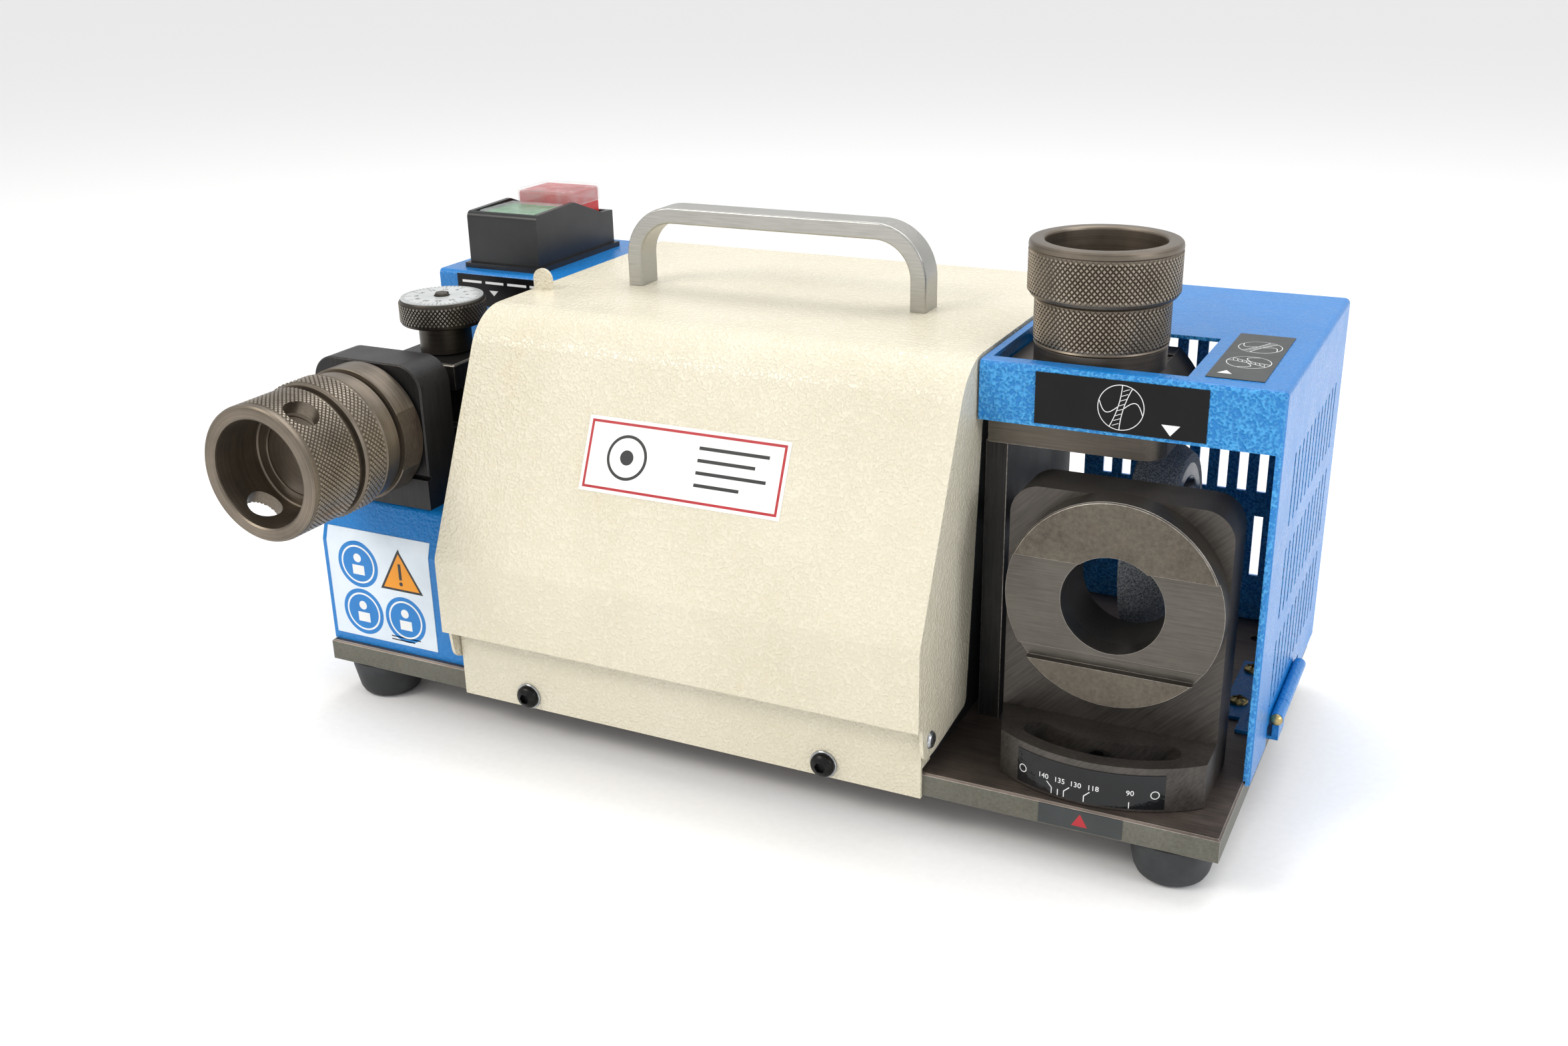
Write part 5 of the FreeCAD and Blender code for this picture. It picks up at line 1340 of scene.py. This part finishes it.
@dataclass
class Hood:
    """The blue hood over the wheel, its hinge and its labels."""

    bench: Bench
    flange_mark: Point = (33.3, 10.0)
    flange_reach: float = 8.9
    flange_line: float = 0.3
    flange_turn: float = -0.25
    top_marks: tuple[Point, ...] = ((24.0, 1.2), (47.0, 2.6))
    top_across: float = 11.2
    top_reach: float = 8.4
    top_line: float = 0.28
    cross: float = 2.5

    def drill_point(self, drawing: Print, middle: Point, reach: float, line: float, turn: float) -> None:
        """Draw a drill's point seen end on: its rim, an S of two cutting lips and the web between them.

        Args:
            drawing: The print.
            middle: The mark's middle.
            reach: The rim's radius.
            line: The width of the lines.
            turn: How far the mark is turned, in radians.
        """
        def spot(across: float, up: float) -> Point:
            """Turn a point of the mark about its middle."""
            return (middle[0] + reach * (across * math.cos(turn) - up * math.sin(turn)),
                    middle[1] + reach * (across * math.sin(turn) + up * math.cos(turn)))

        def stroke(points: list[Point], width: float) -> None:
            """Draw a line through the points."""
            for start, end in zip(points, points[1:]):
                drawing.bar(spot(*start), spot(*end), width, 1, 3)

        web = 0.12
        flare = 0.1
        lip_start = 0.13
        lip_bow = 0.4
        shares = [step / 8 for step in range(-8, 9)]
        drawing.disc(middle, reach, 1, 1, 56)
        drawing.disc(middle, reach - line, 0, 2, 56)
        for way in (-1, 1):
            stroke([(way * (web + flare * share ** 2), 0.95 * share) for share in shares], line)
            stroke([(way * (lip_start + 0.83 * share), way * lip_bow * math.sin(math.pi * share))
                    for share in shares if share >= 0], line)
        for share in shares[1:-1:2]:
            stroke([(-web, 0.9 * share - 0.08), (web, 0.9 * share + 0.1)], line * 0.7)

    def flange_print(self) -> Print:
        """Draw the flange's mark and its pointer.

        Returns:
            The drawing.
        """
        drawing = Print()
        self.drill_point(drawing, self.flange_mark, self.flange_reach, self.flange_line, self.flange_turn)
        drawing.shape([(48.8, 5.4), (55.8, 5.4), (52.3, 1.2)], 1)
        return drawing

    def top_print(self) -> Print:
        """Draw the two marks on the hood's top and their pointer.

        Returns:
            The drawing.
        """
        drawing = Print()
        for level, turn in self.top_marks:
            self.drill_point(drawing, (self.top_across, level), self.top_reach, self.top_line, turn)
        drawing.shape([(3.0, 6.0), (8.4, 6.0), (5.7, 10.4)], 1)
        return drawing

    def build(self) -> None:
        """Make the hood, its hinge, its screws and its labels."""
        bench = self.bench

        def sort(face: bmesh.types.BMFace) -> int:
            """Keep the coarse skin, with its strong painted ridge highlight, to the front flange."""
            return 0 if face.normal.y < -0.5 else 1

        reworked(bench, "right_hood", "frame", "blue_paint", [BLUE, BLUE_SMOOTH], 0.4, folds=1.2, sort=sort)
        reworked(bench, "hinge_leaf", "frame", "blue_paint", [BLUE_SMOOTH], 0.35)
        reworked(bench, "hood_knuckle", "frame", "blue_paint", [BLUE_SMOOTH], 0.35)
        reworked(bench, "hinge_pin", "frame", "yellow_zinc", [YELLOW_ZINC], 0.2)
        blank = Blank()
        for low, high in bench.solids("brass_screws"):
            middle = (low + high) / 2
            if high.z - low.z > 7:
                screw = Screw((high.x - low.x) / 2, 2.4, 2, high.z - low.z - 2.4, 1.5,
                              Recess.CROSS, self.cross)
                blank.add(screw.blank(), upright((middle.x, middle.y, high.z - 2.4), (0, 0, 1)))
            else:
                tall = 2.4
                screw = Screw((high.z - low.z) / 2, tall, 1.4, max(high.x - low.x - tall, 0.6), 1.3,
                              Recess.CROSS, self.cross * 0.75, 1.2)
                blank.add(screw.blank(), upright((low.x + tall, middle.y, middle.z), (-1, 0, 0)))
        blank.piece(bench, "brass_screws_turned", "frame", "yellow_zinc", [YELLOW_ZINC], ["brass_screws"])
        low, _ = bench.box("flange_label")
        labelled(bench, "flange_label", "frame", "black_label", BLACK_FILM, [WHITE_INK], self.flange_print(),
                 facing_front(tuple(low)))
        low, high = bench.box("hood_top_label")
        labelled(bench, "hood_top_label", "frame", "black_label", GREY_FILM, [WHITE_INK], self.top_print(),
                 Matrix.Translation((low.x, low.y, high.z)))


@dataclass
class LeftHousing:
    """The blue housing on the left with its safety and web labels."""

    bench: Bench
    crease: float = 61.0

    def web_print(self) -> Print:
        """Draw the web label: a row of plain bars and a pointer.

        Returns:
            The drawing.
        """
        drawing = Print()
        for start, end in ((3.0, 14.5), (16.8, 27.5), (29.8, 41.0), (43.0, 55.0)):
            drawing.block((start, 11.4), (end, 12.6), 1)
        drawing.shape([(18.8, 8.2), (24.0, 8.2), (21.4, 5.6)], 1)
        return drawing

    def safety_print(self) -> Print:
        """Draw three blue discs with white rings and an amber warning triangle.

        Returns:
            The drawing.
        """
        drawing = Print()
        for middle in ((17.4, 37.3), (17.4, 13.2), (42.0, 13.2)):
            drawing.disc(middle, 11.6, 1)
            drawing.disc(middle, 9.6, 2, 2)
            drawing.disc(middle, 8.7, 1, 3)
            drawing.disc((middle[0], middle[1] + 3.2), 2.2, 2, 4, 24)
            drawing.block((middle[0] - 3.4, middle[1] - 5.2), (middle[0] + 3.4, middle[1] - 0.4), 2, 4)
        outer = [(29.6, 27.6), (54.0, 27.6), (41.8, 48.6)]
        middle = (41.8, 34.6)
        for share, ink, layer in ((1.0, 4, 1), (0.84, 3, 2)):
            drawing.shape([(middle[0] + (x - middle[0]) * share, middle[1] + (y - middle[1]) * share)
                           for x, y in outer], ink, layer)
        drawing.block((41.0, 33.4), (42.6, 41.4), 4, 3)
        drawing.disc((41.8, 31.4), 1.0, 4, 3, 20)
        for row, length in enumerate((17.0, 13.5)):
            drawing.block((32.6, 2.4 - 1.6 * row + 1.0), (32.6 + length, 3.0 - 1.6 * row + 1.0), 4)
        return drawing

    def build(self) -> None:
        """Make the housing, its rear panel, the gland and the labels."""
        bench = self.bench
        reworked(bench, "left_housing", "frame", "blue_paint", [BLUE_SMOOTH], 0.45, folds=1.4)
        reworked(bench, "left_rear_panel", "frame", "blue_paint", [BLUE_SMOOTH], 0.3)
        reworked(bench, "cable_gland", "frame", "switch_plastic", [SWITCH_BLACK], 0.3)
        low, _ = bench.box("web_label")
        labelled(bench, "web_label", "frame", "black_label", BLACK_FILM, [WHITE_INK], self.web_print(),
                 facing_front(tuple(low)))
        low, high = bench.box("safety_label")
        lean = math.atan2(high.y - low.y - 0.3, high.z - self.crease)
        drawing = self.safety_print().folded(self.crease - low.z, lean)
        labelled(bench, "safety_label", "frame", "white_label", PALE_FILM,
                 [SIGN_BLUE, WHITE_INK, AMBER_INK, DARK_INK], drawing, facing_front(tuple(low)))


@dataclass
class SwitchBox:
    """The push-button switch on the housing, under clear caps."""

    bench: Bench

    def build(self) -> None:
        """Make the switch, its two buttons and their caps."""
        bench = self.bench
        reworked(bench, "switch_housing", "frame", "switch_plastic", [SWITCH_BLACK], 0.8)
        buttons = (("start", GREEN_BUTTON, "green_plastic"), ("stop", RED_BUTTON, "red_plastic"))
        for name, finish, slot in buttons:
            reworked(bench, name + "_button", name + "_push", slot, [finish], 0.5)
            reworked(bench, name + "_cap", name + "_push", "clear_cap", [CAP], 0.3)


@dataclass
class SettingFixture:
    """The arch that holds the left chuck, with the stop block and its dial."""

    bench: Bench
    steps: int = 128
    root: float = 20.0
    band_low: float = 153.4
    rows: int = 8
    numbers: int = 12

    def dial(self) -> None:
        """Turn and knurl the dial and print its plate."""
        bench = self.bench
        low, high = bench.box("dial_knob")
        band = Band(self.band_low, self.rows, self.root, 1.2, 0.3, 0.48)
        plate_low, plate_high = bench.box("dial_plate")
        top = plate_low.z
        profile = [(0, low.z), (7.9, low.z), (8, low.z + 0.4), (8, 138.5), (11.9, 138.5), (12.3, 138.9),
                   (12.3, 152.2), (19.3, 152.2), (19.8, 152.6), *band.points(), (19.9, 163.4), (19.3, top),
                   (0, top)]
        knob = Blank.turned(profile, self.steps).knurl(band, self.steps)
        bolt = Blank.turned([(0, top - 1), (3.6, top - 1), (3.6, high.z - 0.5), (3.1, high.z),
                             (0, high.z)], 6)
        knob.add(bolt)
        knob.place(Matrix.Translation((*DIAL_AXIS, 0)))
        centre = bench.metres((*DIAL_AXIS, 0))
        finish = Machined("phosphated dial steel", "332f2b", "4f4a43", Grain.NONE, ("z", centre), 0.5, 0.006,
                          0.8, 0.4)
        # The knurl's diamond tops take the rubbed-edge finish, paler, as a painted highlight.
        knob.piece(bench, "dial_knob_turned", "dial", "dial_steel", [finish, EDGE_WEAR_AND_KNURL_HIGHLIGHT], ["dial_knob"], 25)
        drawing = Print()
        outer = (plate_high.x - plate_low.x) / 2
        for mark in range(self.numbers * 5):
            turn = math.tau * mark / (self.numbers * 5)
            inner = 14.2 if mark % 5 == 0 else 17.2
            drawing.bar((inner * math.cos(turn), inner * math.sin(turn)),
                        ((outer - 0.2) * math.cos(turn), (outer - 0.2) * math.sin(turn)), 0.28, 1)
            if mark % 5 == 0:
                figure_at = (11.8 * math.cos(turn), 11.8 * math.sin(turn))
                drawing.figures(str(2 * (mark // 5) + 2), figure_at, 2.2, 1,
                                turn - math.radians(90))
        labelled(bench, "dial_plate", "dial", "dial_face", DIAL_FILM, [DARK_INK], drawing,
                 Matrix.Translation((*DIAL_AXIS, plate_high.z)))

    def build(self) -> None:
        """Make the arch, the stop block, the pillar, the stop and the dial."""
        bench = self.bench
        for node, body in (("setting_arch", "frame"), ("stop_block", "frame"), ("fixture_pillar", "frame"),
                           ("web_stop", "web_slide")):
            reworked(bench, node, body, "black_oxide", [BLACK_STEEL, EDGE_WEAR_AND_KNURL_HIGHLIGHT], 0.35, 1)
        self.dial()


@dataclass
class Chuck:
    """A drill chuck in two turned parts, measured along its axis from its mouth."""

    bench: Bench
    side: str
    mouth: Place
    axis: Place
    cup: float
    cup_bore: float
    depth: float
    profile: Sequence[Point]
    ring: Band
    cup_steps: int = 172
    ring_steps: int = 154
    wall: float = 5.0
    spigot: float = 18.0
    tommy: Optional[tuple[float, float, float]] = None

    def finish(self, name: str) -> Machined:
        """Give the phosphated steel with lathe marks round this chuck's axis.

        Args:
            name: The piece that it is for.

        Returns:
            The finish.
        """
        letter = "y" if abs(self.axis[1]) > 0.5 else "z"
        return Machined(f"phosphated {self.side} {name}", "544c43", "857b6e", Grain.NONE,
                        (letter, self.bench.metres(self.mouth)), 0.55, 0.008, 0.85, 0.38, "4a4238", 0.25)

    def nut(self) -> None:
        """Turn the cup-shaped nut, knurl it and drill its tommy hole."""
        rim = 3.4
        rows = int((self.depth - rim - 1.0) / 1.2)
        root = self.cup - 0.5
        band = Band(rim, rows, root)
        floor = self.depth - self.wall
        inner = [(self.spigot + 0.05, self.depth), (self.spigot + 0.05, floor + 0.5),
                 (self.spigot + 0.5, floor), (self.cup_bore - 0.6, floor), (self.cup_bore, floor - 0.6),
                 (self.cup_bore, 1.6), (self.cup_bore + 0.35, 0.65), (self.cup_bore + 1.1, 0.1)]
        outer = [(self.cup - 1.9, 0), (self.cup - 0.9, 0.25), (self.cup - 0.25, 0.9), (self.cup, 1.9),
                 (self.cup, rim - 0.6), *band.points(), (self.cup - 1.2, self.depth)]
        blank = Blank.turned([*reversed(outer), *reversed(inner)], self.cup_steps, True)
        blank.knurl(band, self.cup_steps)
        if self.tommy:
            radius, place, turn = self.tommy
            drill = Blank.turned([(0, 0), (radius, 0), (radius, self.cup * 2.4), (0, self.cup * 2.4)], 48)
            swing = Matrix.Rotation(turn, 4, "Z") @ Matrix.Rotation(math.radians(90), 4, "X")
            drill_start = Matrix.Translation((0, 0, -self.cup * 1.2))
            drill.place(Matrix.Translation((0, 0, place)) @ swing @ drill_start)
            blank.minus(drill)
        blank.place(upright(self.mouth, tuple(-part for part in self.axis)))
        blank.piece(self.bench, f"{self.side}_chuck_nut_turned", f"{self.side}_nut", "phosphate_steel",
                    [self.finish("cup"), PAINTED_KNURL_HIGHLIGHT], [f"{self.side}_chuck_nut"], 25)

    def barrel(self) -> None:
        """Turn the barrel and knurl its grip ring."""
        blank = Blank.turned(self.profile, self.ring_steps).knurl(self.ring, self.ring_steps)
        if self.side == "left":
            for way in (-1, 1):
                flat = Blank()
                bmesh.ops.create_cube(flat.mesh, size=1)
                flat.place(Matrix.Translation((way * (27.5 + 10), 0, (57.5 + 70) / 2))
                           @ Matrix.Diagonal((20, 80, 12.5 - 0.02, 1)))
                blank.minus(flat)
        blank.place(upright(self.mouth, tuple(-part for part in self.axis)))
        blank.piece(self.bench, f"{self.side}_chuck_barrel_turned", f"{self.side}_chuck", "phosphate_steel",
                    [self.finish("barrel"), PAINTED_KNURL_HIGHLIGHT], [f"{self.side}_chuck_barrel"], 25)

    def collet(self) -> None:
        """Turn the collet and saw its three slots."""
        low, high = self.bench.box(f"{self.side}_collet")
        letter = 1 if abs(self.axis[1]) > 0.5 else 2
        long = high[letter] - low[letter]
        outer, bore = (high.x - low.x) / 2, 6.0
        blank = Blank.turned([(bore, 0.5), (bore + 0.5, 0), (outer - 0.05, 0), (outer - 0.05, long - 3),
                              (outer - 1.5, long), (bore + 0.6, long), (bore, long - 0.6)], 60, True)
        for way in range(3):
            saw = Blank()
            bmesh.ops.create_cube(saw.mesh, size=1)
            saw.place(Matrix.Rotation(math.tau * way / 3, 4, "Z") @ Matrix.Translation((9.5, 0, long))
                      @ Matrix.Diagonal((12, 1.1, long * 1.4, 1)))
            blank.minus(saw)
        middle = (low + high) / 2
        foot = Vector(middle) + Vector(self.axis) * (long / 2)
        blank.place(upright(tuple(foot), tuple(-part for part in self.axis)))
        blank.piece(self.bench, f"{self.side}_collet_turned", f"{self.side}_chuck", "phosphate_steel",
                    [self.finish("collet")], [f"{self.side}_collet"])

    def build(self) -> None:
        """Make the chuck's three parts."""
        self.nut()
        self.barrel()
        self.collet()


def left_chuck(bench: Bench) -> Chuck:
    """Set out the left chuck, which points at the user.

    Args:
        bench: The bench.

    Returns:
        The chuck, ready to build.
    """
    low, high = bench.box("left_chuck_nut")
    ring = Band(33.0, 10, 30.5)
    profile = [(0, 25.6), (17.7, 25.6), (18, 25.9), (18, 30.3), (27.5, 30.3), (27.5, 31.9),
               (29.8, 31.9), *ring.points(),
               (30.9, 45.6), (30.4, 46), (29.4, 46), (29.4, 55), (26.9, 57.5), (30.1, 57.5), (30.5, 57.9),
               (30.5, 69.6), (30.1, 70), (21.95, 70), (21.95, 89), (20.95, 90),
               (12, 90), (12, 29), (0, 29)]
    return Chuck(bench, "left", (SETTING_AXIS[0], low.y, SETTING_AXIS[1]), (0, -1, 0), 30.0, 23.5,
                 high.y - low.y, profile, ring, tommy=(7.6, 13.5, math.radians(32)))


def right_chuck(bench: Bench) -> Chuck:
    """Set out the right chuck, which stands in the top port.

    Args:
        bench: The bench.

    Returns:
        The chuck, ready to build.
    """
    low, high = bench.box("right_chuck_nut")
    ring = Band(22.9, 14, 26.1)
    profile = [(0, 17), (17.7, 17), (18, 17.3), (18, 21.7), (25.2, 21.7), *ring.points(),
               (26.4, 40.3), (25.9, 41),
               (26, 41.1), (26, 49.3), (25.6, 49.7), (21.95, 49.7), (21.95, 75), (20.95, 76),
               (12, 76), (12, 21), (0, 21)]
    return Chuck(bench, "right", (*PORT_AXIS, high.z), (0, 0, 1), 29.6, 23.2, high.z - low.z, profile, ring)


@dataclass
class TopPort:
    """The block that holds the upright chuck, on its column."""

    bench: Bench

    def build(self) -> None:
        """Make the block and the column."""
        reworked(self.bench, "top_port_block", "frame", "seat_steel", [PORT_STEEL, EDGE_WEAR_AND_KNURL_HIGHLIGHT], 0.4, 1)
        reworked(self.bench, "top_port_column", "frame", "black_oxide", [BLACK_STEEL, EDGE_WEAR_AND_KNURL_HIGHLIGHT], 0.35, 1)


@dataclass
class PointPort:
    """The swivelling port for the point angle, with its seat, scale and lock screw."""

    bench: Bench
    drum: float = 65.3
    marks: tuple = (("140", -14.0, -10.7), ("135", -7.9, -8.4), ("130", -2.2, -6.2), ("118", 3.8, 0.8),
                    ("90", 16.0, 15.8))
    figure_level: float = 6.7
    tick: float = 2.9

    def scale_print(self) -> Print:
        """Draw the angle scale: figures, ticks with leaders and a ring at each end.

        Returns:
            The drawing, with x 0 straight ahead of the pivot.
        """
        drawing = Print()
        arc = math.radians(1) * self.drum
        for figures, place, mark in self.marks:
            drawing.figures(figures, (place * arc, self.figure_level), 2.25, 1)
            drawing.bar((mark * arc, 0.2), (mark * arc, self.tick), 0.35, 1)
            gap = (place - mark) * arc
            if abs(gap) > 1:
                side = math.copysign(min(abs(gap) - 1.2, 2.2), gap)
                drawing.bar((mark * arc, self.tick - 0.1), (mark * arc + side, self.tick + 2.0), 0.35, 1)
        for end in (-22.4, 24.2):
            drawing.disc((end * arc, 6.3), 1.75, 1, 1, 28)
            drawing.disc((end * arc, 6.3), 1.4, 0, 2, 28)
        return drawing

    def seat(self) -> None:
        """Make the seat disc with lathe rings round its bore and a milled channel."""
        bench = self.bench
        centre = bench.metres((SEAT_AXIS[0], 0, SEAT_AXIS[1]))
        rings = Machined("seat steel, turned", "46423d", "67625b", Grain.NONE, ("y", centre), 0.55,
                         0.02, 0.85, 0.36, "5a4c40", 0.2)

        def sort(face: bmesh.types.BMFace) -> Optional[int]:
            """Give the channel's floor the milled finish and the lands beside it the rubbed one.

            Args:
                face: A face of the disc.

            Returns:
                The number of its finish, or None where it keeps its own.
            """
            middle = face.calc_center_median()
            if face.normal.y > -0.9 or face.material_index:
                return None
            return 2 if middle.y > 24.5 else 3

        finishes = [rings, WORN_EDGE_AND_HIGHLIGHT, SEAT_FLAT, SEAT_RUSTY]
        reworked(bench, "seat_disc", "point_port", "seat_steel", finishes, 0.5, 1,
                 sort=sort)

    def build(self) -> None:
        """Make the port bracket and all it carries, and the pointer on the plate."""
        bench = self.bench
        reworked(bench, "port_bracket", "point_port", "black_oxide", [BRACKET_STEEL, WORN_EDGE_AND_HIGHLIGHT], 0.5, 1)
        self.seat()
        reworked(bench, "pivot_pin", "frame", "black_oxide", [BLACK_STEEL, EDGE_WEAR_AND_KNURL_HIGHLIGHT], 0.3, 1)
        low, high = bench.box("lock_screw")
        middle = (low + high) / 2
        head = (high.x - low.x) / 2
        seat = 17.3
        screw = Screw(head, high.z - seat, 3, seat - low.z, 0.8, Recess.HEX, 2.5, 3.6)
        blank = Blank().add(screw.blank(), upright((middle.x, middle.y, seat), (0, 0, 1)))
        blank.piece(bench, "lock_screw_turned", "frame", "black_screw", [SCREW_BLACK], ["lock_screw"])
        low, _ = bench.box("scale_label")
        drawing = self.scale_print().wrapped(self.drum)
        labelled(bench, "scale_label", "point_port", "black_label", SCALE_FILM, [WHITE_INK], drawing,
                 Matrix.Translation((*PIVOT, low.z)))
        low, _ = bench.box("pointer_label")
        drawing = Print()
        drawing.shape([(13.2, 1.8), (19.5, 1.8), (16.4, 7.2)], 1)
        labelled(bench, "pointer_label", "frame", "black_label", GREY_FILM, [RED_INK], drawing,
                 facing_front(tuple(low)))


@dataclass
class Studio:
    """A plain white room with soft light and the camera."""

    bench: Bench
    stand: Place = (290.3, -514.3, 334.6)
    azimuth: float = 26.569
    elevation: float = 21.517
    roll: float = -1.138
    lens: float = 36.21
    sensor: float = 36.0

    def floor(self) -> None:
        """Lay the floor under the feet."""
        low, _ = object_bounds()
        mesh = bpy.data.meshes.new("studio_floor")
        ground = bmesh.new()
        bmesh.ops.create_grid(ground, x_segments=2, y_segments=2, size=60.0,
                              matrix=Matrix.Translation((0, 0, low.z - 0.0002)))
        ground.to_mesh(mesh)
        ground.free()
        mesh.materials.append(FloorPaper("floor paper").material())
        thing = bpy.data.objects.new("studio_floor", mesh)
        bpy.context.scene.collection.objects.link(thing)
        thing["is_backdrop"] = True

    def lamp(self, name: str, spot: Place, aim: Place, size: Point, power: float, tint: str) -> None:
        """Hang one soft lamp.

        Args:
            name: The lamp's name.
            spot: Where it hangs, in metres.
            aim: What it points at, in metres.
            size: Its width and height in metres.
            power: Its power in watts.
            tint: Its colour.
        """
        data = bpy.data.lights.new(name, "AREA")
        data.shape = "RECTANGLE"
        data.size, data.size_y = size
        data.energy = power
        data.color = paint(tint)[:3]
        thing = bpy.data.objects.new(name, data)
        way = Vector(aim) - Vector(spot)
        thing.matrix_world = Matrix.Translation(spot) @ way.to_track_quat("-Z", "Y").to_matrix().to_4x4()
        bpy.context.scene.collection.objects.link(thing)
        thing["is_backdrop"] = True

    def sky(self) -> None:
        """Fill the room with light that is brightest overhead."""
        world = bpy.data.worlds.new("room")
        bpy.context.scene.world = world
        world.use_nodes = True
        tree = world.node_tree
        tree.nodes.clear()
        place = tree.nodes.new("ShaderNodeTexCoord")
        split = tree.nodes.new("ShaderNodeSeparateXYZ")
        tree.links.new(place.outputs["Generated"], split.inputs[0])
        ramp = tree.nodes.new("ShaderNodeValToRGB")
        for element, (spot, colour) in zip(ramp.color_ramp.elements, ((0.0, "f2f2f2"), (0.8, "ffffff"))):
            element.position = spot
            element.color = paint(colour)
        tree.links.new(split.outputs[2], ramp.inputs[0])
        light = tree.nodes.new("ShaderNodeBackground")
        light.inputs["Strength"].default_value = 0.9
        tree.links.new(ramp.outputs[0], light.inputs["Color"])
        out = tree.nodes.new("ShaderNodeOutputWorld")
        tree.links.new(light.outputs[0], out.inputs[0])

    def camera(self) -> None:
        """Set the camera on its stand."""
        turn, rise, roll = (math.radians(part) for part in (self.azimuth, self.elevation, self.roll))
        back = Vector((math.sin(turn) * math.cos(rise), -math.cos(turn) * math.cos(rise), math.sin(rise)))
        right = Vector((math.cos(turn), math.sin(turn), 0))
        up = back.cross(right)
        side = right * math.cos(roll) + up * math.sin(roll)
        top = up * math.cos(roll) - right * math.sin(roll)
        data = bpy.data.cameras.new("camera")
        data.lens = self.lens
        data.sensor_width = self.sensor
        data.clip_start = 0.01
        thing = bpy.data.objects.new("camera", data)
        facing = Matrix((side, top, back)).transposed().to_4x4()
        thing.matrix_world = Matrix.Translation(self.bench.metres(self.stand)) @ facing
        bpy.context.scene.collection.objects.link(thing)
        bpy.context.scene.camera = thing

    def build(self) -> None:
        """Make the room, its lamps and the camera."""
        self.floor()
        self.sky()
        self.camera()
        heart = (0.0, 0.0, 0.09)
        self.lamp("key_lamp", (-0.9, -1.1, 1.25), heart, (0.7, 0.5), 11.0, "fffaf2")
        self.lamp("top_lamp", (0.1, 0.55, 1.5), heart, (1.6, 0.8), 12.0, "ffffff")
        self.lamp("side_lamp", (1.5, -0.35, 0.75), heart, (0.6, 0.6), 6.0, "f6f9ff")
        scene = bpy.context.scene
        scene.view_settings.view_transform = "Standard"
        scene.view_settings.look = "None"


def main() -> None:
    """Build the machine and its room."""
    logging.basicConfig(level=logging.INFO, format="%(message)s")
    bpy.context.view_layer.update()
    bench = Bench()
    parts: Iterable[Any] = (Base(bench), FrontBracket(bench), SwingCover(bench), Drive(bench), Hood(bench),
                            LeftHousing(bench), SwitchBox(bench), SettingFixture(bench), left_chuck(bench),
                            right_chuck(bench), TopPort(bench), PointPort(bench), Studio(bench))
    for part in parts:
        log.info("== %s", type(part).__name__)
        part.build()


if __name__ == "__main__":
    main()
